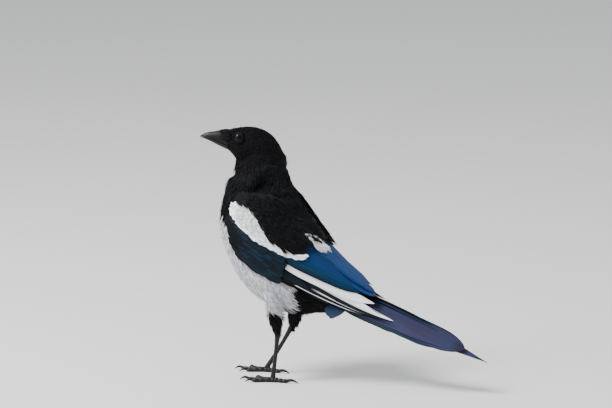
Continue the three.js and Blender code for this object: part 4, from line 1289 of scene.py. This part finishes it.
def tailCoverts():
    # Black feathers over and under the root of the tail.
    rows = {"axis": [], "out": [], "half": []}
    for top, count, end, up in ((1, 18, 38, 9.5), (-1, 30, 29, -13)):
        for i in range(count):
            lean = math.radians(rng.uniform(-72, 72))
            reach = end - 10 * abs(math.sin(lean)) + rng.uniform(-8, 4)
            start = rng.uniform(-6, 8)
            rows["axis"].append([
                inTail(mix(start, reach, s), 10 * k * math.sin(lean), up * k * math.cos(lean))
                for s, k in ((0, 0.75), (0.33, 1.0), (0.66, 1.02), (1, 0.96))
            ])
            facing = tailUp * top * math.cos(lean) + vec(math.sin(lean), 0, 0)
            rows["out"].append([facing, facing])
            rows["half"].append(rng.uniform(4, 5.5))
    n = len(rows["half"])
    shade = rng.random(n)
    lays = {key: np.array(value) for key, value in rows.items()}
    lays.update(
        camber=0.02, thick=0.15, quill=0.6, tipFrom=0.5, tipPower=0.6, ragged=0.15, seed=rng.random(n) * 9,
        marks=shadeMarks(shade),
        unwrap=np.stack([rng.uniform(0.1, 0.9, n), rng.uniform(0.1, 0.9, n)], 1),
    )
    return layFeathers("tailCoverts", vaneTemplate(6, 9), lays, [blackFeather])


# Bill

bill = {
    "profile": [  # ahead, top, bottom, half width
        (24.5, 14.4, -4.4, 6.2),
        (27.7, 14.4, -3.2, 5.9),
        (33, 13.4, -1.1, 5.1),
        (39, 12.3, 1.6, 4.1),
        (45, 11.0, 4.1, 2.9),
        (49, 9.3, 5.4, 1.7),
        (51.7, 7.1, 6.2, 0.5),
    ],
    "mouth": [(14, -6.4), (21, -1.8), (28, 1.6), (38, 4.7), (46, 6.0), (54, 6.3)],
    "slit": 0.3,
}


def jaw(name, upper):
    def place(along, turn):
        rows = np.clip((along - 0.03) / 0.94, 0, 1)
        size = spline(bill["profile"], rows)
        f = size[..., 0]
        parting = splineAt(bill["mouth"], 1, f) + (bill["slit"] if upper else -bill["slit"])
        edge = size[..., 1] if upper else size[..., 2]
        end = np.clip(np.minimum(along, 1 - along) / 0.03, 0, 1)
        c = np.cos(turn) if upper else -np.cos(turn)
        rise = np.where(c > 0, np.abs(c) ** 0.9, -0.02 * np.abs(c))
        lift = parting + (edge - parting) * rise
        pinch = 1 - (0.3 if upper else 0.2) * np.clip(c, 0, 1) ** 2
        wide = size[..., 3] * pinch * np.abs(np.sin(turn)) ** 0.85 * np.sign(np.sin(turn))
        return inHead(f, wide * end, mix((parting + edge) / 2, lift, end))

    piece = pieceFrom(name, shapedSphere(place, 40, 44))
    piece.data.materials.append(billHorn)
    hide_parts("bill_upper" if upper else "bill_lower")
    return piece


def nasalBristles():
    # Stiff black bristles that lie forwards over the base of the bill.
    n = 150
    side = np.where(np.arange(n) % 2, 1, -1)
    turn = np.radians(rng.uniform(0, 100, n))
    start = rng.uniform(21, 27, n)
    reach = rng.uniform(7, 12, n) * (1 - 0.35 * turn / 1.7)

    def on(f, lift):
        wide = splineAt(bill["profile"], 3, f) + lift + np.clip(27 - f, 0, 6) * 0.45
        top = splineAt(bill["profile"], 1, f) + lift
        return inHead(f, side * np.sin(turn) * wide, 7 + np.cos(turn) * (top - 7))

    lie = ((0, -0.4), (0.33, 0.7), (0.66, 0.75), (1, 0.35))  # share of the length, height over the bill
    axis = np.stack([on(start + reach * share, lift) for share, lift in lie], 1)
    out = unit(np.cos(turn)[:, None] * upward + (side * np.sin(turn))[:, None] * outward)
    shade = rng.random(n)
    lays = {
        "axis": axis, "out": np.stack([out, out], 1), "half": rng.uniform(0.35, 0.6, n),
        "thick": 0.12, "quill": 0.8, "tipFrom": 0.3, "seed": rng.random(n), "ragged": 0.0,
        "unwrap": np.stack([0.5 + side * turn / 8, start / 60], 1),
        "marks": shadeMarks(shade),
    }
    return layFeathers("nasalBristles", lockTemplate(3), lays, [blackFeather])


# Eyes

def eyeMaterial():
    # Living eye: a clear wet cornea over a very dark brown iris and a black pupil.
    material, tree, shader = newMaterial("wetEye")
    own = markParts(tree)
    stops = [(0.0, "#010101"), (0.42, "#010101"), (0.5, "#0c0705"), (0.9, "#080504"), (1.0, "#030202")]
    shade = ramp(tree, own.outputs[0], stops)
    tree.links.new(shade.outputs[0], shader.inputs["Base Color"])
    setShader(shader, Roughness=0.12, IOR=1.34, Specular_IOR_Level=0.25)
    return material


lid = {"radius": 3.95, "thickness": 1.04, "out": 12.4}


def eyesAndLids():
    wet = eyeMaterial()
    for name, side in sides.items():
        centre = inHead(eye["ahead"], side * eye["out"], eye["up"])
        look = unit(outward * side + ahead * 0.18 + upward * 0.1)
        ball = bmesh.new()
        bmesh.ops.create_uvsphere(ball, u_segments=48, v_segments=32, radius=eye["radius"])
        for vert in ball.verts:
            vert.co = Vector(centre) + vert.co
        piece = pieceFrom("eyeball_" + name, ball)
        co = np.array([v.co[:] for v in piece.data.vertices])
        away = np.arccos(np.clip(unit(co / mm - shift - centre) @ look, -1, 1)) / 0.9
        marksOf = piece.data.attributes.new("marks", "FLOAT_VECTOR", "POINT")
        marksOf.data.foreach_set("vector", np.stack([np.clip(away, 0, 1)] * 3, 1).astype(np.float32).ravel())
        piece.data.materials.append(wet)
        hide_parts("eye_" + name)
        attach(piece, "root")
        lidRing(name, side, look)


def lidRing(name, side, look):
    ring = bmesh.new()
    bmesh.ops.create_circle(ring, segments=10, radius=lid["thickness"] / 2)
    first = unit(np.cross(look, upward))
    second = np.cross(first, look)
    for vert in ring.verts:
        x, y = vert.co.x, vert.co.y
        vert.co = Vector(first * (lid["radius"] + x) + look * y * 1.25)
    section = ring.verts[:] + ring.edges[:]
    bmesh.ops.spin(ring, geom=section, axis=look, angle=2 * math.pi, steps=40, use_merge=True)
    bmesh.ops.recalc_face_normals(ring, faces=ring.faces)
    middle = inHead(eye["ahead"], side * lid["out"], eye["up"])
    for vert in ring.verts:
        p = np.array(vert.co)
        height = p @ second
        vert.co = Vector(middle + p - second * height * 0.06)
    piece = pieceFrom("lids_" + name, ring)
    piece.data.materials.append(lidSkin)
    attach(piece, "root")


lidSkin = hornMaterial("bareLidSkin", "#020202", "#050506", 0.85)


# Feet

foot = {
    "tarsus": (2.5, 1.75, 1.6, 1.75, 2.1),
    "scutes": 11,
    "toes": [  # name, heading, length, thickness, claw
        ("hind", 176, 14, 2.4, 12),
        ("inner", 24, 18, 2.0, 8),
        ("middle", -2, 25, 2.1, 9),
        ("outer", -26, 19, 2.0, 7.5),
    ],
    "pads": (1, 0.86, 1.05, 0.8, 1.0, 0.78, 0.92, 0.62),  # shares of a toe's thickness along it
    "sole": 1.75,
}


def headingOf(side, degrees):
    return vec(-side * math.sin(math.radians(degrees)), -math.cos(math.radians(degrees)), 0)


def footPiece(name, side):
    leg = legs[name]

    def tarsusPoint(along, turn):
        points = [leg["ankle"] + vec(0, 0, 2), mix(leg["ankle"], leg["foot"], 0.5), leg["foot"]]
        swell = np.abs(np.sin(np.clip(along, 0.05, 0.95) * math.pi * foot["scutes"])) ** 0.5
        band = 0.12 * swell * (np.sin(turn) < 0.3)
        base = limbPoint(points, foot["tarsus"], along, turn, (0.9, 1.15), 0.04)
        line = spline(points, np.clip((along - 0.04) / 0.92, 0, 1))
        return line + (base - line) * (1 + band[:, None])

    parts = [shapedSphere(tarsusPoint, 20, 90)]
    for _, way, length, thick, _ in foot["toes"]:
        go = headingOf(side, way)
        ground = vec(leg["foot"][0], leg["foot"][1], foot["sole"])
        arch = ((0, 0.7), (0.3, 0.5), (0.65, 0), (1, 0))  # share of the toe, height over its end
        points = [ground + go * length * t + vec(0, 0, z) for t, z in arch]
        pads = [thick * k for k in foot["pads"]]
        parts.append(shapedSphere(lambda a, t: limbPoint(points, pads, a, t, (1, 1), 0.07), 16, 40))
    pad = bmesh.new()
    bmesh.ops.create_uvsphere(pad, u_segments=20, v_segments=14, radius=3.0)
    for vert in pad.verts:
        x, y, z = vert.co
        vert.co = Vector((x + leg["foot"][0], y * 1.1 + leg["foot"][1], z * 0.85 + 2.2))
    parts.append(pad)
    whole = gather(parts)
    for vert in whole.verts:
        vert.co.z = max(vert.co.z, 0.02)
    piece = pieceFrom("footSkin_" + name, whole)
    piece.data.materials.append(legScale)
    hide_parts("foot_" + name)
    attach(piece, "root")
    for toeName, way, length, thick, claw in foot["toes"]:
        go = headingOf(side, way)
        start = vec(leg["foot"][0], leg["foot"][1], foot["sole"] + 0.1) + go * (length - 1.4)
        middle = start + go * (claw + 0.8) * 0.5 + vec(0, 0, 1.1)
        points = [start, middle, start + go * (claw + 0.8) + vec(0, 0, -1.25)]
        radii = [thick * k for k in (0.6, 0.46, 0.1)]
        horned = shapedSphere(lambda a, t: limbPoint(points, radii, a, t, (0.8, 1.15), 0.05), 14, 28)
        nail = pieceFrom("claw_horn_" + name + "_" + toeName, horned)
        nail.data.materials.append(clawHorn)
        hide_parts("claw_" + name + "_" + toeName)
        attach(nail, "root")


# Putting it together

skin = makeSkin()
co = np.empty(len(skin.data.vertices) * 3)
skin.data.vertices.foreach_get("co", co)
tone = whiteness(co.reshape(-1, 3) / mm - shift)
skinMarks = skin.data.attributes.new("marks", "FLOAT_VECTOR", "POINT")
skinMarks.data.foreach_set("vector", np.stack([tone] * 3, 1).astype(np.float32).ravel())
skin.data.materials.append(skinMaterial())
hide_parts("head", "neck", "torso", "thigh_left", "thigh_right")
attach(skin, "root")
print("skin", len(skin.data.polygons), "faces")

for piece in bodyFeathers(skin):
    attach(piece, "root")

for name, side in sides.items():
    cap = name.capitalize()
    pad = armPad("arm" + cap, side)
    pad.data.materials.append(blackFeather)
    flight = flightFeathers("flightFeathers" + cap, side)
    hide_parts("wing_" + name)
    soft = plumes(name, side)
    for piece in (pad, flight, coverts("coverts" + cap, side), *scapulars("scapulars" + cap, side), soft):
        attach(piece, "root")

rectrices = tailFeathers()
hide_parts("tail")
for piece in (rectrices, tailCoverts()):
    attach(piece, "root")

for upper in (True, False):
    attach(jaw("jawUpper" if upper else "jawLower", upper), "root")
bristles = nasalBristles()
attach(bristles, "root")
eyesAndLids()
for name, side in sides.items():
    footPiece(name, side)
print("bird made")


# Floor, light and camera

view = {
    "azimuth": math.radians(114),
    "elevation": math.radians(8),
    "pxPerMm": 1.075,
    "imageWidth": 612,
    "imageHeight": 408,
    "birdPx": (268.8, 378),  # where the ground point between the feet shows
    "distance": 3200,
}


def stage():
    ground = bmesh.new()
    bmesh.ops.create_grid(ground, x_segments=2, y_segments=2, size=6)
    mesh = bpy.data.meshes.new("floor")
    ground.to_mesh(mesh)
    ground.free()
    floor = bpy.data.objects.new("floor", mesh)
    bpy.context.scene.collection.objects.link(floor)
    material, _, shader = newMaterial("paleStudioFloor")
    setShader(shader, Base_Color=srgb("#e6e5e1"), Roughness=0.9)
    mesh.materials.append(material)


def areaLight(name, place, target, size, power, colour="#ffffff"):
    data = bpy.data.lights.new(name, "AREA")
    data.shape = "DISK"
    data.size = size
    data.energy = power
    data.color = srgb(colour)[:3]
    lamp = bpy.data.objects.new(name, data)
    lamp.location = place
    lamp.rotation_euler = (Vector(target) - Vector(place)).to_track_quat("-Z", "Y").to_euler()
    bpy.context.scene.collection.objects.link(lamp)


def camera():
    a, e = view["azimuth"], view["elevation"]
    back = vec(math.sin(a) * math.cos(e), -math.cos(a) * math.cos(e), math.sin(e))
    right = vec(math.cos(a), math.sin(a), 0)
    up = np.cross(back, right)
    aside = (view["imageWidth"] / 2 - view["birdPx"][0]) / view["pxPerMm"]
    above = (view["birdPx"][1] - view["imageHeight"] / 2) / view["pxPerMm"]
    target = right * aside + up * above + back * (vec(0, 10, 120) @ back)
    data = bpy.data.cameras.new("camera")
    data.sensor_width = 36
    data.lens = 36 * view["distance"] * view["pxPerMm"] / view["imageWidth"]
    data.clip_end = 50
    lens = bpy.data.objects.new("camera", data)
    lens.location = toScene(target + back * view["distance"])
    lens.rotation_mode = "QUATERNION"
    lens.rotation_quaternion = Vector(-back).to_track_quat("-Z", "Y")
    bpy.context.scene.collection.objects.link(lens)
    bpy.context.scene.camera = lens


stage()
camera()
areaLight("key", (1.2, -1.1, 2.2), (0, 0, 0.12), 1.1, 105)
areaLight("fill", (2.2, -1.6, 1.3), (0, 0, 0.12), 1.8, 45, "#f3f6ff")
world = bpy.data.worlds.new("studio")
bpy.context.scene.world = world
world.use_nodes = True
world.node_tree.nodes["Background"].inputs[0].default_value = srgb("#eef1f6")
world.node_tree.nodes["Background"].inputs[1].default_value = 0.85
